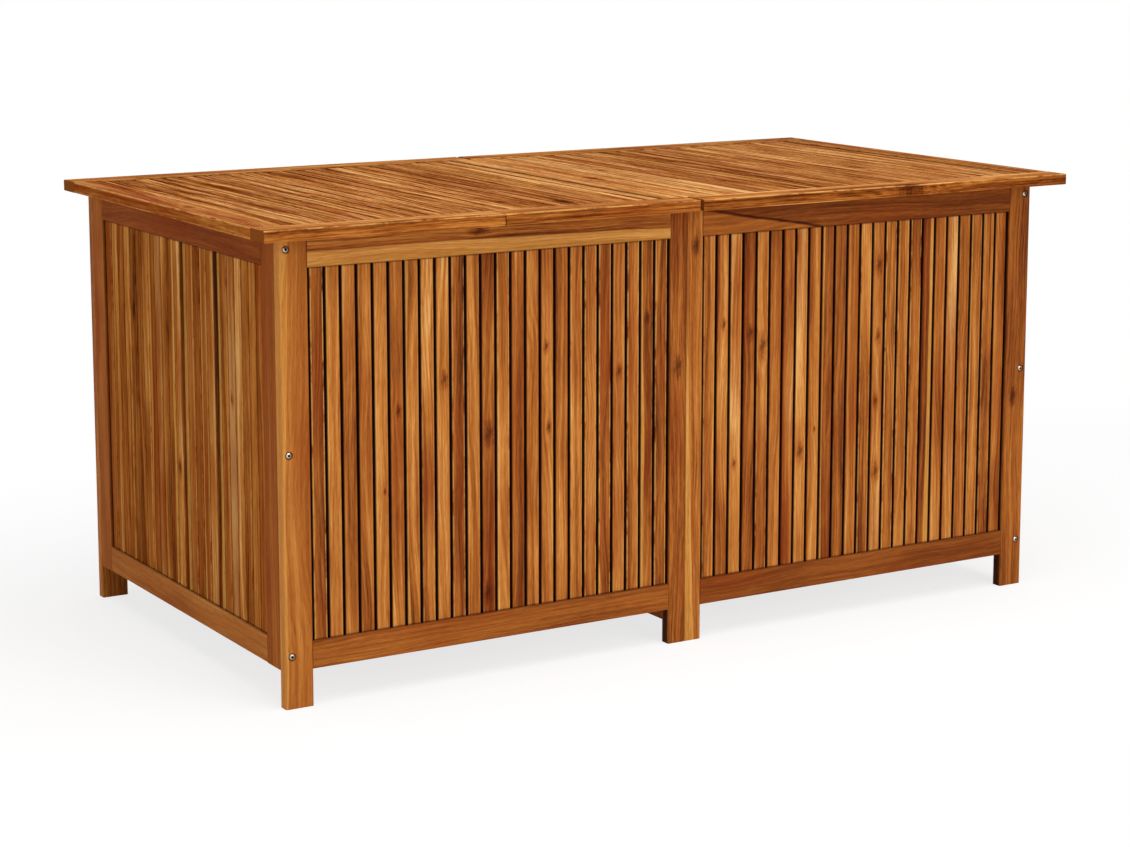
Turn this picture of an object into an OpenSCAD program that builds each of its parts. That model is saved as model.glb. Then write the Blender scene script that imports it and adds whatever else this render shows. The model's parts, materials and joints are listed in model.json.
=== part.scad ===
// Deck storage box: a slatted hardwood body on eight short legs, a slatted floor
// on a centre beam, and two slatted lids side by side, hinged along the back.
// Frame: +X to the right along the front, +Y to the back, +Z up. The origin is on
// the ground, in the middle of the outermost points in plan.

/* [Body] */
// Length of the body over its two end panels
body_length = 1416; // [1100:1:1700]
// Depth of the body over its front and back panels
body_depth = 757; // [560:1:900]
// Height of the body, from the ground to the underside of the lids
body_height = 706; // [480:1:850]
// Height of the legs below the bottom rails
leg_clear = 57; // [40:1:110]

/* [Panel frames] */
// Thickness of every stile and rail of the body
board_t = 19; // [17:0.5:24]
// Width of the stiles at the four corners of the body
outer_stile_w = 45; // [38:1:65]
// Width of each of the two stiles that meet in the middle
inner_stile_w = 31; // [28:1:50]
// Width of the stiles of the end panels
end_stile_w = 45; // [44:1:65]
// Height of the top rails
top_rail_h = 46; // [40:1:70]
// Height of the bottom rails
bottom_rail_h = 43; // [38:1:60]
// Small flat planed off the long edges of the boards
edge_ease = 1.2; // [0.6:0.1:2]

/* [Body slats] */
// Width of a slat
slat_w = 22; // [16:0.5:34]
// Thickness of a slat
slat_t = 12; // [8:0.5:13]
// Gap wanted between slats, evened out to fill each frame
slat_gap = 4.2; // [3:0.1:9]
// How far the slats lie back from the outer face of the frame
slat_recess = 3; // [2:0.25:3.5]
// Depth of the grooves that hold the ends of the slats
groove_depth = 8; // [5:0.5:12]

/* [Frame joints] */
// Length of the tenons on the rails
tenon_length = 12; // [8:1:13]
// Thickness of the tenons
tenon_t = 9; // [6:0.5:11]
// Wood left above and below each tenon
tenon_shoulder = 9; // [8.5:0.5:13]
// Glue gap left past the end of each tenon
glue_gap = 1; // [0.5:0.5:2]

/* [Lids] */
// Thickness of the lid frames
lid_t = 18; // [17:0.5:24]
// Overhang of the lids past each end of the body
lid_side_overhang = 42; // [20:1:60]
// Overhang of the lids past the front of the body
lid_front_overhang = 43; // [20:1:60]
// Width of the front and back rails of a lid
lid_rail_w = 48; // [42:1:65]
// Width of the outer stile of a lid
lid_outer_stile_w = 48; // [42:1:65]
// Width of the stile of a lid beside the seam
lid_inner_stile_w = 33; // [28:1:65]
// Gap between the two lids
lid_seam = 7; // [2:0.5:12]
// Width of a lid slat
lid_slat_w = 23.5; // [16:0.5:34]
// Thickness of a lid slat
lid_slat_t = 12; // [8:0.5:12.5]
// Gap wanted between lid slats, evened out to fill the frame
lid_slat_gap = 4; // [3:0.1:9]
// How far the lid slats lie below the top of the lid frame
lid_slat_recess = 2; // [1.5:0.25:2.5]

/* [Lid battens] */
// Width of the battens under the lid slats
batten_w = 40; // [25:1:60]
// Height of the battens
batten_h = 20; // [12:1:21]
// Space between a batten's end and the end panel beside it
batten_end_gap = 5; // [3:0.5:12]

/* [Floor] */
// Height of the floor's bearers above the lower edge of the bottom rails
floor_rise = 21; // [19:0.5:24]
// Width of a floor slat
floor_slat_w = 60; // [40:1:90]
// Thickness of a floor slat
floor_slat_t = 12; // [9:0.5:16]
// Gap wanted between floor slats, evened out over the depth
floor_slat_gap = 11; // [6:0.5:20]
// Room left at the ends of the floor slats
floor_end_gap = 2; // [1:0.5:5]
// Width of the cleats that carry the outer ends of the floor slats
cleat_w = 22; // [18:1:35]
// Height of the cleats
cleat_h = 20; // [17:0.5:22]
// Width of the centre beam
beam_w = 60; // [50:1:80]
// Height of the centre beam
beam_h = 42; // [26:1:55]

/* [Hinges] */
// Length of a hinge
hinge_length = 60; // [50:1:90]
// Distance from each side of a lid to the middle of its hinge
hinge_inset = 150; // [110:1:220]
// Height of the leaf on the body
body_leaf_h = 32; // [30:1:36]
// Height of the leaf on the edge of the lid
lid_leaf_h = 15; // [14:0.5:16]
// Thickness of the leaves
leaf_t = 2; // [1.5:0.1:2.5]
// Outer radius of the knuckles
knuckle_r = 4.5; // [3.5:0.1:5]
// Radius of the hinge pin
pin_r = 2; // [1.5:0.1:2.3]
// Running clearance round the pin in the knuckles of the lid leaf
pin_play = 0.06; // [0.03:0.01:0.1]
// Space between the knuckles and whatever turns past them
knuckle_gap = 0.4; // [0.3:0.05:0.6]
// Angle at which the stop tab meets the body leaf
lid_stop_angle = 97; // [90:1:110]
// Length of the stop tab, measured from the hinge axis
stop_tab_length = 12; // [9:0.5:14]

/* [Corner bolts] */
// Diameter of the bolt
bolt_d = 6; // [5:0.5:7]
// Length of the bolt under its head
bolt_length = 45; // [40:1:46]
// Diameter of the bolt head
bolt_head_d = 10.5; // [9:0.5:12]
// Height of the bolt head
bolt_head_h = 3.3; // [2.5:0.1:4]
// Size across the flats of the socket in the head
bolt_socket = 4; // [3:0.5:5]
// Depth of the shallow recess round the head
bolt_sink = 2.5; // [1:0.5:4]
// Room round the head in its recess
bolt_head_play = 1.2; // [0.5:0.1:1.5]
// Distance of the bolts from the outer face of the end panel
bolt_inset = 11; // [9:0.5:11.5]
// Distance of the lowest and highest bolts from the ends of the end panel
bolt_end_inset = 20; // [17:1:40]
// How far the row of bolts is set up from the middle of the end panel
bolt_lift = 3; // [0:0.5:3]
// Diameter of the cross dowel that the bolt screws into
dowel_d = 10; // [9:0.5:12]
// Length of the cross dowel
dowel_length = 14; // [10:0.5:14]
// Distance from the tip of the bolt to the middle of the cross dowel
dowel_from_tip = 8; // [6:0.5:12]

/* [Screws and plates] */
// Diameter of the screw shanks
screw_d = 3.5; // [3:0.1:4]
// Diameter of the countersunk screw heads
screw_head_d = 6.6; // [6:0.1:7]
// Length of the short screws that hold the metal fittings
short_screw = 16; // [12:1:16]
// Length of the long screws that hold the floor and the battens
long_screw = 29; // [26:1:30]
// Clearance of bolts, dowels and screws in their holes
hole_play = 0.05; // [0.03:0.01:0.1]
// Thickness of the seam plates and the beam brackets
plate_t = 2; // [1.6:0.1:3]
// Width of a seam plate
plate_w = 50; // [44:1:56]
// Height of a seam plate
plate_h = 36; // [30:1:50]
// Distance of the upper seam plates below the top rails
plate_drop = 30; // [22:1:80]
// Length of each leg of a beam bracket
bracket_leg = 34; // [30:1:40]
// Height of a beam bracket
bracket_h = 15; // [12:0.5:17]
// Space between a beam bracket and the floor above it
bracket_gap = 1; // [0.5:0.5:1.5]
// Distance of a fitting's screws from its edges
screw_edge = 8; // [7:0.5:9]
// Distance of a bracket's screws from the ends of its legs
bracket_screw_edge = 5.5; // [5:0.5:6]
// Length of the tapered tip of a screw
screw_tip_h = 3; // [2:0.5:4]
// Width of the cross recess in a screw head
screw_cross_w = 0.8; // [0.6:0.1:1]
// Depth of the cross recess in a screw head
screw_cross_depth = 0.9; // [0.7:0.1:1.1]

/* [Hidden] */

// A cut runs this far past a face that it opens
past = 1;
// One slat in this many takes a screw of the battens, and so do the gaps over the cleats
screw_every = 4;
// Share of a bolt head's height that is left under its socket
socket_floor = 0.4;
$fn = 48;

// Colours of the oiled boards and the fittings
heartwood = [0.62, 0.36, 0.15];
slatwood = [0.72, 0.44, 0.19];
lidwood = [0.70, 0.43, 0.20];
shadewood = [0.48, 0.27, 0.12];
steel = [0.72, 0.70, 0.66];

// --- Plan of the whole box ---
axis_back = knuckle_r + knuckle_gap;
tab_face = leaf_t - axis_back + hole_play;
tab_reach = stop_tab_length * sin(lid_stop_angle) + tab_face * cos(lid_stop_angle);
rear_reach = axis_back + max(knuckle_r, tab_reach);
front_y = (lid_front_overhang - body_depth - rear_reach) / 2;
back_y = front_y + body_depth;
left_x = -body_length / 2;
panel_w = body_length / 2;
end_depth = body_depth - 2 * board_t;

// --- Heights in the body ---
bottom_rail_top = leg_clear + bottom_rail_h;
top_rail_z = body_height - top_rail_h;
floor_z = leg_clear + floor_rise;
tenon_face = (board_t - tenon_t) / 2;

// --- Slats of the body ---
panel_field = panel_w - outer_stile_w - inner_stile_w;
end_field = end_depth - 2 * end_stile_w;
function slats_in(field, w, gap) = round((field - gap) / (w + gap));
function slat_starts(field, w, gap) =
    let (n = slats_in(field, w, gap), real_gap = (field - n * w) / (n + 1))
    [for (i = [0 : n - 1]) real_gap + i * (w + real_gap)];

// --- Lids ---
lid_w = (body_length - lid_seam) / 2 + lid_side_overhang;
lid_depth = body_depth + lid_front_overhang;
lid_inner_x = lid_w - lid_inner_stile_w;
lid_stiles = [[0, lid_outer_stile_w], [lid_inner_x, lid_w]];
lid_field = lid_inner_x - lid_outer_stile_w;
lid_slat_z = lid_t - lid_slat_recess - lid_slat_t;
lid_tenon_z = (lid_t - tenon_t) / 2;
batten_x0 = lid_side_overhang + board_t + batten_end_gap;
batten_x1 = lid_inner_x - lid_slat_gap;
batten_span = lid_depth - 2 * lid_rail_w;
batten_ys = [for (k = [1, 2]) lid_rail_w + k * batten_span / 3 - batten_w / 2];

// --- Hinges, in a lid's own frame: x of their middles ---
hinge_xs = [lid_side_overhang + hinge_inset, lid_w - hinge_inset];
knuckles = 5;
knuckle_pitch = hinge_length / knuckles;
leaf_screw_xs = [-hinge_length / 2 + screw_edge, 0, hinge_length / 2 - screw_edge];
lid_leaf_screw_z = (lid_leaf_h + knuckle_r) / 2;
body_leaf_screw_zs = [-body_leaf_h + screw_edge, -knuckle_r - screw_edge, -body_leaf_h + screw_edge];

// --- Bolts ---
bolt_low_z = leg_clear + bolt_end_inset + bolt_lift;
bolt_high_z = body_height - bolt_end_inset + bolt_lift;
bolt_zs = [bolt_low_z, (bolt_low_z + bolt_high_z) / 2, bolt_high_z];
dowel_y = bolt_sink + bolt_length - dowel_from_tip;

// --- Fittings ---
plate_zs = [body_height / 2, top_rail_z - plate_drop - plate_h / 2];
bracket_z = floor_z - bracket_h - bracket_gap;

// --- Floor ---
floor_starts = slat_starts(end_depth, floor_slat_w, floor_slat_gap);
floor_pitch = floor_starts[1] - floor_starts[0];
cleat_screws_from = floor_starts[0] + (floor_pitch + floor_slat_w) / 2;
cleat_screw_ys = [for (i = [0 : screw_every : len(floor_starts) - 1])
    cleat_screws_from + i * floor_pitch];

// Rectangle a by b from the origin with its corners eased
module eased(a, b) {
    c = edge_ease;
    polygon([[c, 0], [a - c, 0], [a, c], [a, b - c], [a - c, b], [c, b], [0, b - c], [0, c]]);
}

// Boards between two opposite corners, with their long edges eased
module board_up(lo, hi)
    translate(lo)
        linear_extrude(hi.z - lo.z)
            eased(hi.x - lo.x, hi.y - lo.y);

module board_along_x(lo, hi)
    translate(lo)
        rotate([90, 0, 90])
            linear_extrude(hi.x - lo.x)
                eased(hi.y - lo.y, hi.z - lo.z);

module board_along_y(lo, hi)
    translate([lo.x, hi.y, lo.z])
        rotate([90, 0, 0])
            linear_extrude(hi.y - lo.y)
                eased(hi.x - lo.x, hi.z - lo.z);

// Plain block between two opposite corners
module block(lo, hi) translate(lo) cube(hi - lo);

// Rod or hole of radius r that starts at the origin and runs along +Y
module along_y(r, l) rotate([-90, 0, 0]) cylinder(r = r, h = l);

// Rod or hole of radius r that starts at the origin and runs along +X
module along_x(r, l) rotate([0, 90, 0]) cylinder(r = r, h = l);

// --- Screws: the head lies flush at z = 0 and the tip points to -Z ---
screw_cone_h = (screw_head_d - screw_d) / 2;

module screw(length) {
    difference() {
        union() {
            translate([0, 0, -screw_cone_h])
                cylinder(d1 = screw_d, d2 = screw_head_d, h = screw_cone_h);
            translate([0, 0, screw_tip_h - length])
                cylinder(d = screw_d, h = length - screw_tip_h - screw_cone_h);
            translate([0, 0, -length])
                cylinder(d1 = screw_d / 4, d2 = screw_d, h = screw_tip_h);
        }
        for (a = [0, 90])
            rotate(a)
                translate([-screw_head_d / 4, -screw_cross_w / 2, -screw_cross_depth])
                    cube([screw_head_d / 2, screw_cross_w, screw_cross_depth + past]);
    }
}

// The hole that a screw fills, with its countersink
module screw_hole(length) {
    translate([0, 0, -length - glue_gap])
        cylinder(d = screw_d + 2 * hole_play, h = length + glue_gap + past);
    translate([0, 0, -screw_cone_h])
        cylinder(d1 = screw_d, d2 = screw_head_d, h = screw_cone_h);
    cylinder(d = screw_head_d, h = past);
}

// ===== Long panels: x from the body's end to the seam, y from the outer face inwards =====

// Mortise for the tenon of a rail between z0 and z1, opening towards +X at x
module mortise(x, z0, z1)
    block([x - tenon_length - glue_gap, tenon_face, z0 + tenon_shoulder],
          [x + past, tenon_face + tenon_t, z1 - tenon_shoulder]);

module rail_mortises(x) {
    mortise(x, leg_clear, bottom_rail_top);
    mortise(x, top_rail_z, body_height);
}

// Stile at a corner of the body, with its three bolt holes
module outer_stile()
    difference() {
        board_up([0, 0, 0], [outer_stile_w, board_t, body_height]);
        rail_mortises(outer_stile_w);
        for (z = bolt_zs)
            translate([bolt_inset, -past, z]) {
                along_y(bolt_d / 2 + hole_play, board_t + 2 * past);
                along_y(bolt_head_d / 2 + bolt_head_play, bolt_sink + past);
            }
    }

// Stile at the seam in the middle of the box, with the screw holes of the seam plates
module inner_stile()
    difference() {
        board_up([panel_w - inner_stile_w, 0, 0], [panel_w, board_t, body_height]);
        translate([2 * panel_w - inner_stile_w, 0, 0])
            mirror([1, 0, 0])
                rail_mortises(panel_w);
        for (z = plate_zs, s = [-1, 1])
            translate([panel_w - plate_w / 2 + screw_edge, board_t + plate_t,
                       z + s * (plate_h / 2 - screw_edge)])
                rotate([-90, 0, 0])
                    screw_hole(short_screw);
    }

// Rail between the stiles with a tenon at each end
module tenoned_rail(z0, z1) {
    x0 = outer_stile_w;
    x1 = panel_w - inner_stile_w;
    board_along_x([x0, 0, z0], [x1, board_t, z1]);
    block([x0 - tenon_length, tenon_face, z0 + tenon_shoulder],
          [x1 + tenon_length, tenon_face + tenon_t, z1 - tenon_shoulder]);
}

// Groove for the ends of the slats, from z0 to z1
module slat_groove(z0, z1)
    block([outer_stile_w, slat_recess, z0], [panel_w - inner_stile_w, slat_recess + slat_t, z1]);

module top_rail()
    difference() {
        tenoned_rail(top_rail_z, body_height);
        slat_groove(top_rail_z - past, top_rail_z + groove_depth);
    }

// Top rail of a back panel, with the screw holes of its two hinges
module hinged_top_rail()
    difference() {
        top_rail();
        for (x = hinge_xs)
            translate([x - lid_side_overhang, 0, body_height])
                mirror([0, 1, 0])
                    body_leaf_screws() screw_hole(short_screw);
    }

// Bottom rail, with the screw holes of the beam bracket
module bottom_rail()
    difference() {
        tenoned_rail(leg_clear, bottom_rail_top);
        slat_groove(bottom_rail_top - groove_depth, bottom_rail_top + past);
        for (d = bracket_screw_ds)
            translate([panel_w - beam_w / 2 - d, board_t + plate_t, bracket_z + bracket_h / 2])
                rotate([-90, 0, 0])
                    screw_hole(short_screw);
    }

// The upright slats of a long panel, each a separate piece
module panel_slats()
    for (x = slat_starts(panel_field, slat_w, slat_gap))
        board_up([outer_stile_w + x, slat_recess, bottom_rail_top - groove_depth],
                 [outer_stile_w + x + slat_w, slat_recess + slat_t, top_rail_z + groove_depth]);

// ===== End panels: x from the outer face inwards, y from the front panel backwards =====

// Front stile of an end panel, drilled for the bolts and their cross dowels
module end_stile()
    difference() {
        board_up([0, 0, leg_clear], [board_t, end_stile_w, body_height]);
        for (z = [[leg_clear, bottom_rail_top], [top_rail_z, body_height]])
            block([tenon_face, end_stile_w - tenon_length - glue_gap, z[0] + tenon_shoulder],
                  [tenon_face + tenon_t, end_stile_w + past, z[1] - tenon_shoulder]);
        for (z = bolt_zs) {
            translate([bolt_inset, -past, z])
                along_y(bolt_d / 2 + hole_play, bolt_sink + bolt_length - board_t + past + glue_gap);
            translate([bolt_inset - dowel_length / 2, dowel_y - board_t, z])
                along_x(dowel_d / 2 + hole_play, board_t);
        }
    }

module end_rail(z0, z1) {
    y1 = end_depth - end_stile_w;
    board_along_y([0, end_stile_w, z0], [board_t, y1, z1]);
    block([tenon_face, end_stile_w - tenon_length, z0 + tenon_shoulder],
          [tenon_face + tenon_t, y1 + tenon_length, z1 - tenon_shoulder]);
}

module end_groove(z0, z1)
    block([slat_recess, end_stile_w, z0], [slat_recess + slat_t, end_depth - end_stile_w, z1]);

module end_top_rail()
    difference() {
        end_rail(top_rail_z, body_height);
        end_groove(top_rail_z - past, top_rail_z + groove_depth);
    }

// Bottom rail of an end panel, with the screw holes of the floor cleat
module end_bottom_rail()
    difference() {
        end_rail(leg_clear, bottom_rail_top);
        end_groove(bottom_rail_top - groove_depth, bottom_rail_top + past);
        cleat_screws() screw_hole(long_screw);
    }

module end_slats()
    for (y = slat_starts(end_field, slat_w, slat_gap))
        board_up([slat_recess, end_stile_w + y, bottom_rail_top - groove_depth],
                 [slat_recess + slat_t, end_stile_w + y + slat_w, top_rail_z + groove_depth]);

// ===== Floor =====

// Cleat on the inner face of an end panel, in that panel's own frame
module floor_cleat()
    difference() {
        board_along_y([board_t, 0, floor_z - cleat_h], [board_t + cleat_w, end_depth, floor_z]);
        cleat_screws() screw_hole(long_screw);
        floor_end_screws() screw_hole(long_screw);
    }

// Places of the screws that hold a cleat to its end panel
module cleat_screws()
    for (y = cleat_screw_ys)
        translate([board_t + cleat_w, y, floor_z - cleat_h / 2])
            rotate([0, 90, 0])
                children();

// Places of the screws at the outer ends of the floor slats
module floor_end_screws()
    for (y = floor_starts)
        translate([board_t + cleat_w / 2, y + floor_slat_w / 2, floor_z + floor_slat_t])
            children();

// Places of the screws at the beam, in an end panel's own frame
module floor_beam_screws()
    for (y = floor_starts)
        translate([panel_w - beam_w / 4, y + floor_slat_w / 2, floor_z + floor_slat_t])
            children();

// One half of the floor, in an end panel's own frame
module floor_slats()
    difference() {
        for (y = floor_starts)
            board_along_x([board_t + floor_end_gap, y, floor_z],
                          [panel_w - floor_end_gap / 2, y + floor_slat_w, floor_z + floor_slat_t]);
        floor_end_screws() screw_hole(long_screw);
        floor_beam_screws() screw_hole(long_screw);
    }

// ===== Lids: x from the outer side to the seam, y from the front edge, z from the underside =====

// Rail across a lid with its slat groove and stile mortises opening towards +Y
module lid_rail()
    difference() {
        board_along_x([0, 0, 0], [lid_w, lid_rail_w, lid_t]);
        block([lid_outer_stile_w, lid_rail_w - groove_depth, lid_slat_z],
              [lid_inner_x, lid_rail_w + past, lid_slat_z + lid_slat_t]);
        for (x = lid_stiles)
            block([x[0] + tenon_shoulder, lid_rail_w - tenon_length - glue_gap, lid_tenon_z],
                  [x[1] - tenon_shoulder, lid_rail_w + past, lid_tenon_z + tenon_t]);
    }

// Turns a lid rail round so that it lies along the back edge
module at_lid_back() translate([0, lid_depth, 0]) mirror([0, 1, 0]) children();

module lid_back_rail()
    difference() {
        at_lid_back() lid_rail();
        for (x = hinge_xs)
            translate([x, lid_depth, 0])
                lid_leaf_screws() screw_hole(short_screw);
    }

// Stile of a lid between the two places in x
module lid_stile(x) {
    board_along_y([x[0], lid_rail_w, 0], [x[1], lid_depth - lid_rail_w, lid_t]);
    block([x[0] + tenon_shoulder, lid_rail_w - tenon_length, lid_tenon_z],
          [x[1] - tenon_shoulder, lid_depth - lid_rail_w + tenon_length, lid_tenon_z + tenon_t]);
}

module lid_slats()
    difference() {
        for (x = slat_starts(lid_field, lid_slat_w, lid_slat_gap))
            board_along_y([lid_outer_stile_w + x, lid_rail_w - groove_depth, lid_slat_z],
                          [lid_outer_stile_w + x + lid_slat_w, lid_depth - lid_rail_w + groove_depth,
                           lid_slat_z + lid_slat_t]);
        batten_screws() screw_hole(long_screw);
    }

module lid_battens()
    difference() {
        for (y = batten_ys)
            board_along_x([batten_x0, y, lid_slat_z - batten_h], [batten_x1, y + batten_w, lid_slat_z]);
        batten_screws() screw_hole(long_screw);
    }

// Places of the screws that hold the battens, one in every fourth slat
module batten_screws() {
    starts = slat_starts(lid_field, lid_slat_w, lid_slat_gap);
    for (i = [screw_every / 2 : screw_every : len(starts) - 1], y = batten_ys)
        translate([lid_outer_stile_w + starts[i] + lid_slat_w / 2, y + batten_w / 2, lid_slat_z - batten_h])
            rotate([180, 0, 0])
                children();
}

// ===== Hinges: the origin is on the outer back edge, at the body's top and the hinge's middle =====

// The knuckles numbered in list, each between two gaps
module knuckle_row(list, r)
    for (k = list)
        translate([k * knuckle_pitch - hinge_length / 2 + knuckle_gap / 2, axis_back, 0])
            along_x(r, knuckle_pitch - knuckle_gap);

// Notches in a leaf for the other leaf's knuckles to turn in
module knuckle_notches(list)
    for (k = list)
        translate([k * knuckle_pitch - hinge_length / 2 - knuckle_gap / 2, -past, -knuckle_r - knuckle_gap])
            cube([knuckle_pitch + knuckle_gap, leaf_t + 2 * past, 2 * (knuckle_r + knuckle_gap)]);

module pin_bore(r)
    translate([-hinge_length / 2 - past, axis_back, 0])
        along_x(r, hinge_length + 2 * past);

body_knuckles = [0, 2, 4];
lid_knuckles = [1, 3];

module body_leaf()
    difference() {
        union() {
            difference() {
                block([-hinge_length / 2, 0, -body_leaf_h], [hinge_length / 2, leaf_t, 0]);
                knuckle_notches(lid_knuckles);
            }
            knuckle_row(body_knuckles, knuckle_r);
        }
        pin_bore(pin_r);
        body_leaf_screws() screw_hole(short_screw);
    }

module lid_leaf()
    difference() {
        union() {
            difference() {
                block([-hinge_length / 2, 0, 0], [hinge_length / 2, leaf_t, lid_leaf_h]);
                knuckle_notches(body_knuckles);
            }
            knuckle_row(lid_knuckles, knuckle_r);
            stop_tabs();
        }
        pin_bore(pin_r + pin_play);
        lid_leaf_screws() screw_hole(short_screw);
    }

// Tabs on the lid leaf that swing down against the body leaf and stop the lid
module stop_tabs()
    for (k = lid_knuckles)
        translate([k * knuckle_pitch - hinge_length / 2 + knuckle_gap / 2, axis_back, 0])
            rotate([lid_stop_angle, 0, 0])
                translate([0, tab_face, -stop_tab_length])
                    cube([knuckle_pitch - knuckle_gap, leaf_t, stop_tab_length]);

// Places of the screws in each leaf: heads on the outside, tips towards the wood
module body_leaf_screws()
    for (i = [0 : 2])
        translate([leaf_screw_xs[i], leaf_t, body_leaf_screw_zs[i]])
            rotate([-90, 0, 0])
                children();

module lid_leaf_screws()
    for (x = leaf_screw_xs)
        translate([x, leaf_t, lid_leaf_screw_z])
            rotate([-90, 0, 0])
                children();

module hinge_pin()
    translate([-hinge_length / 2, axis_back, 0])
        along_x(pin_r, hinge_length);

// ===== Fasteners =====

// Domed head of a bolt, standing on z = 0, with its hexagon socket
module button_head() {
    dome_r = (pow(bolt_head_d / 2, 2) + pow(bolt_head_h, 2)) / (2 * bolt_head_h);
    difference() {
        intersection() {
            translate([0, 0, bolt_head_h - dome_r])
                sphere(r = dome_r);
            cylinder(d = bolt_head_d, h = bolt_head_h);
        }
        translate([0, 0, bolt_head_h * socket_floor])
            cylinder(d = bolt_socket / cos(30), h = bolt_head_h, $fn = 6);
    }
}

// Button-head bolt along +Y, seated in the recess of a corner stile
module bolt()
    translate([0, bolt_sink, 0]) {
        along_y(bolt_d / 2, bolt_length);
        rotate([90, 0, 0])
            button_head();
    }

// Threaded cross dowel, in the frame of the bolt that it takes
module cross_dowel()
    difference() {
        translate([-dowel_length / 2, dowel_y, 0])
            along_x(dowel_d / 2, dowel_length);
        along_y(bolt_d / 2 + hole_play, dowel_y + dowel_d);
    }

// Places of the three bolts of a corner, in the long panel's own frame
module corner_places()
    for (z = bolt_zs)
        translate([bolt_inset, 0, z])
            children();

// Places of the four screws of each seam plate
module plate_screws()
    for (z = plate_zs, s = [-1, 1], r = [-1, 1])
        translate([r * (plate_w / 2 - screw_edge), plate_t, z + s * (plate_h / 2 - screw_edge)])
            rotate([-90, 0, 0])
                children();

// Two flat plates that tie the middle stiles together
module seam_plate_pair()
    difference() {
        for (z = plate_zs)
            block([-plate_w / 2, 0, z - plate_h / 2], [plate_w / 2, plate_t, z + plate_h / 2]);
        plate_screws() screw_hole(short_screw);
    }

// Distances of a bracket's screws from the side of the beam or the face of the panel
bracket_screw_ds = [bracket_leg / 2 - plate_t, bracket_leg - bracket_screw_edge];

// Places of the screws of the bracket at the beam's left side
module bracket_screws()
    for (d = bracket_screw_ds) {
        translate([-beam_w / 2 - d, plate_t, bracket_z + bracket_h / 2])
            rotate([-90, 0, 0])
                children();
        translate([-beam_w / 2 - plate_t, d, bracket_z + bracket_h / 2])
            rotate([0, -90, 0])
                children();
    }

// Angle bracket in the corner between the panel and the beam's left side
module bracket()
    difference() {
        translate([-beam_w / 2, 0, bracket_z])
            linear_extrude(bracket_h)
                polygon([[0, 0], [-bracket_leg, 0], [-bracket_leg, plate_t], [-plate_t, plate_t],
                         [-plate_t, bracket_leg], [0, bracket_leg]]);
        bracket_screws() screw_hole(short_screw);
    }

// ===== Places of the assemblies =====

module at_front_left() translate([left_x, front_y, 0]) children();
module at_front_right() mirror([1, 0, 0]) at_front_left() children();
module at_back_left() translate([left_x, back_y, 0]) mirror([0, 1, 0]) children();
module at_back_right() mirror([1, 0, 0]) at_back_left() children();
module at_corners() {
    at_front_left() children();
    at_front_right() children();
    at_back_left() children();
    at_back_right() children();
}

module at_left_end() translate([left_x, front_y + board_t, 0]) children();
module at_left_end_back() translate([left_x, back_y - board_t, 0]) mirror([0, 1, 0]) children();
module at_right_end() mirror([1, 0, 0]) at_left_end() children();
module at_right_end_back() mirror([1, 0, 0]) at_left_end_back() children();

module at_left_lid()
    translate([left_x - lid_side_overhang, front_y - lid_front_overhang, body_height])
        children();
module at_right_lid() mirror([1, 0, 0]) at_left_lid() children();
module at_left_hinges()
    for (x = hinge_xs)
        translate([left_x - lid_side_overhang + x, back_y, body_height])
            children();
module at_right_hinges() mirror([1, 0, 0]) at_left_hinges() children();

module at_front_seam() translate([0, front_y + board_t, 0]) children();
module at_back_seam() translate([0, back_y - board_t, 0]) mirror([0, 1, 0]) children();
module at_beam_corners() {
    at_front_seam() children();
    at_back_seam() children();
    mirror([1, 0, 0]) at_front_seam() children();
    mirror([1, 0, 0]) at_back_seam() children();
}

// ===== Sub-parts =====

module front_left_outer_stile() color(heartwood) at_front_left() outer_stile();
module front_left_inner_stile() color(heartwood) at_front_left() inner_stile();
module front_left_top_rail() color(heartwood) at_front_left() top_rail();
module front_left_bottom_rail() color(heartwood) at_front_left() bottom_rail();
module front_left_slats() color(slatwood) at_front_left() panel_slats();

module front_right_outer_stile() color(heartwood) at_front_right() outer_stile();
module front_right_inner_stile() color(heartwood) at_front_right() inner_stile();
module front_right_top_rail() color(heartwood) at_front_right() top_rail();
module front_right_bottom_rail() color(heartwood) at_front_right() bottom_rail();
module front_right_slats() color(slatwood) at_front_right() panel_slats();

module back_left_outer_stile() color(heartwood) at_back_left() outer_stile();
module back_left_inner_stile() color(heartwood) at_back_left() inner_stile();
module back_left_top_rail() color(heartwood) at_back_left() hinged_top_rail();
module back_left_bottom_rail() color(heartwood) at_back_left() bottom_rail();
module back_left_slats() color(slatwood) at_back_left() panel_slats();

module back_right_outer_stile() color(heartwood) at_back_right() outer_stile();
module back_right_inner_stile() color(heartwood) at_back_right() inner_stile();
module back_right_top_rail() color(heartwood) at_back_right() hinged_top_rail();
module back_right_bottom_rail() color(heartwood) at_back_right() bottom_rail();
module back_right_slats() color(slatwood) at_back_right() panel_slats();

module left_end_front_stile() color(heartwood) at_left_end() end_stile();
module left_end_back_stile() color(heartwood) at_left_end_back() end_stile();
module left_end_top_rail() color(heartwood) at_left_end() end_top_rail();
module left_end_bottom_rail() color(heartwood) at_left_end() end_bottom_rail();
module left_end_slats() color(slatwood) at_left_end() end_slats();

module right_end_front_stile() color(heartwood) at_right_end() end_stile();
module right_end_back_stile() color(heartwood) at_right_end_back() end_stile();
module right_end_top_rail() color(heartwood) at_right_end() end_top_rail();
module right_end_bottom_rail() color(heartwood) at_right_end() end_bottom_rail();
module right_end_slats() color(slatwood) at_right_end() end_slats();

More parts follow.
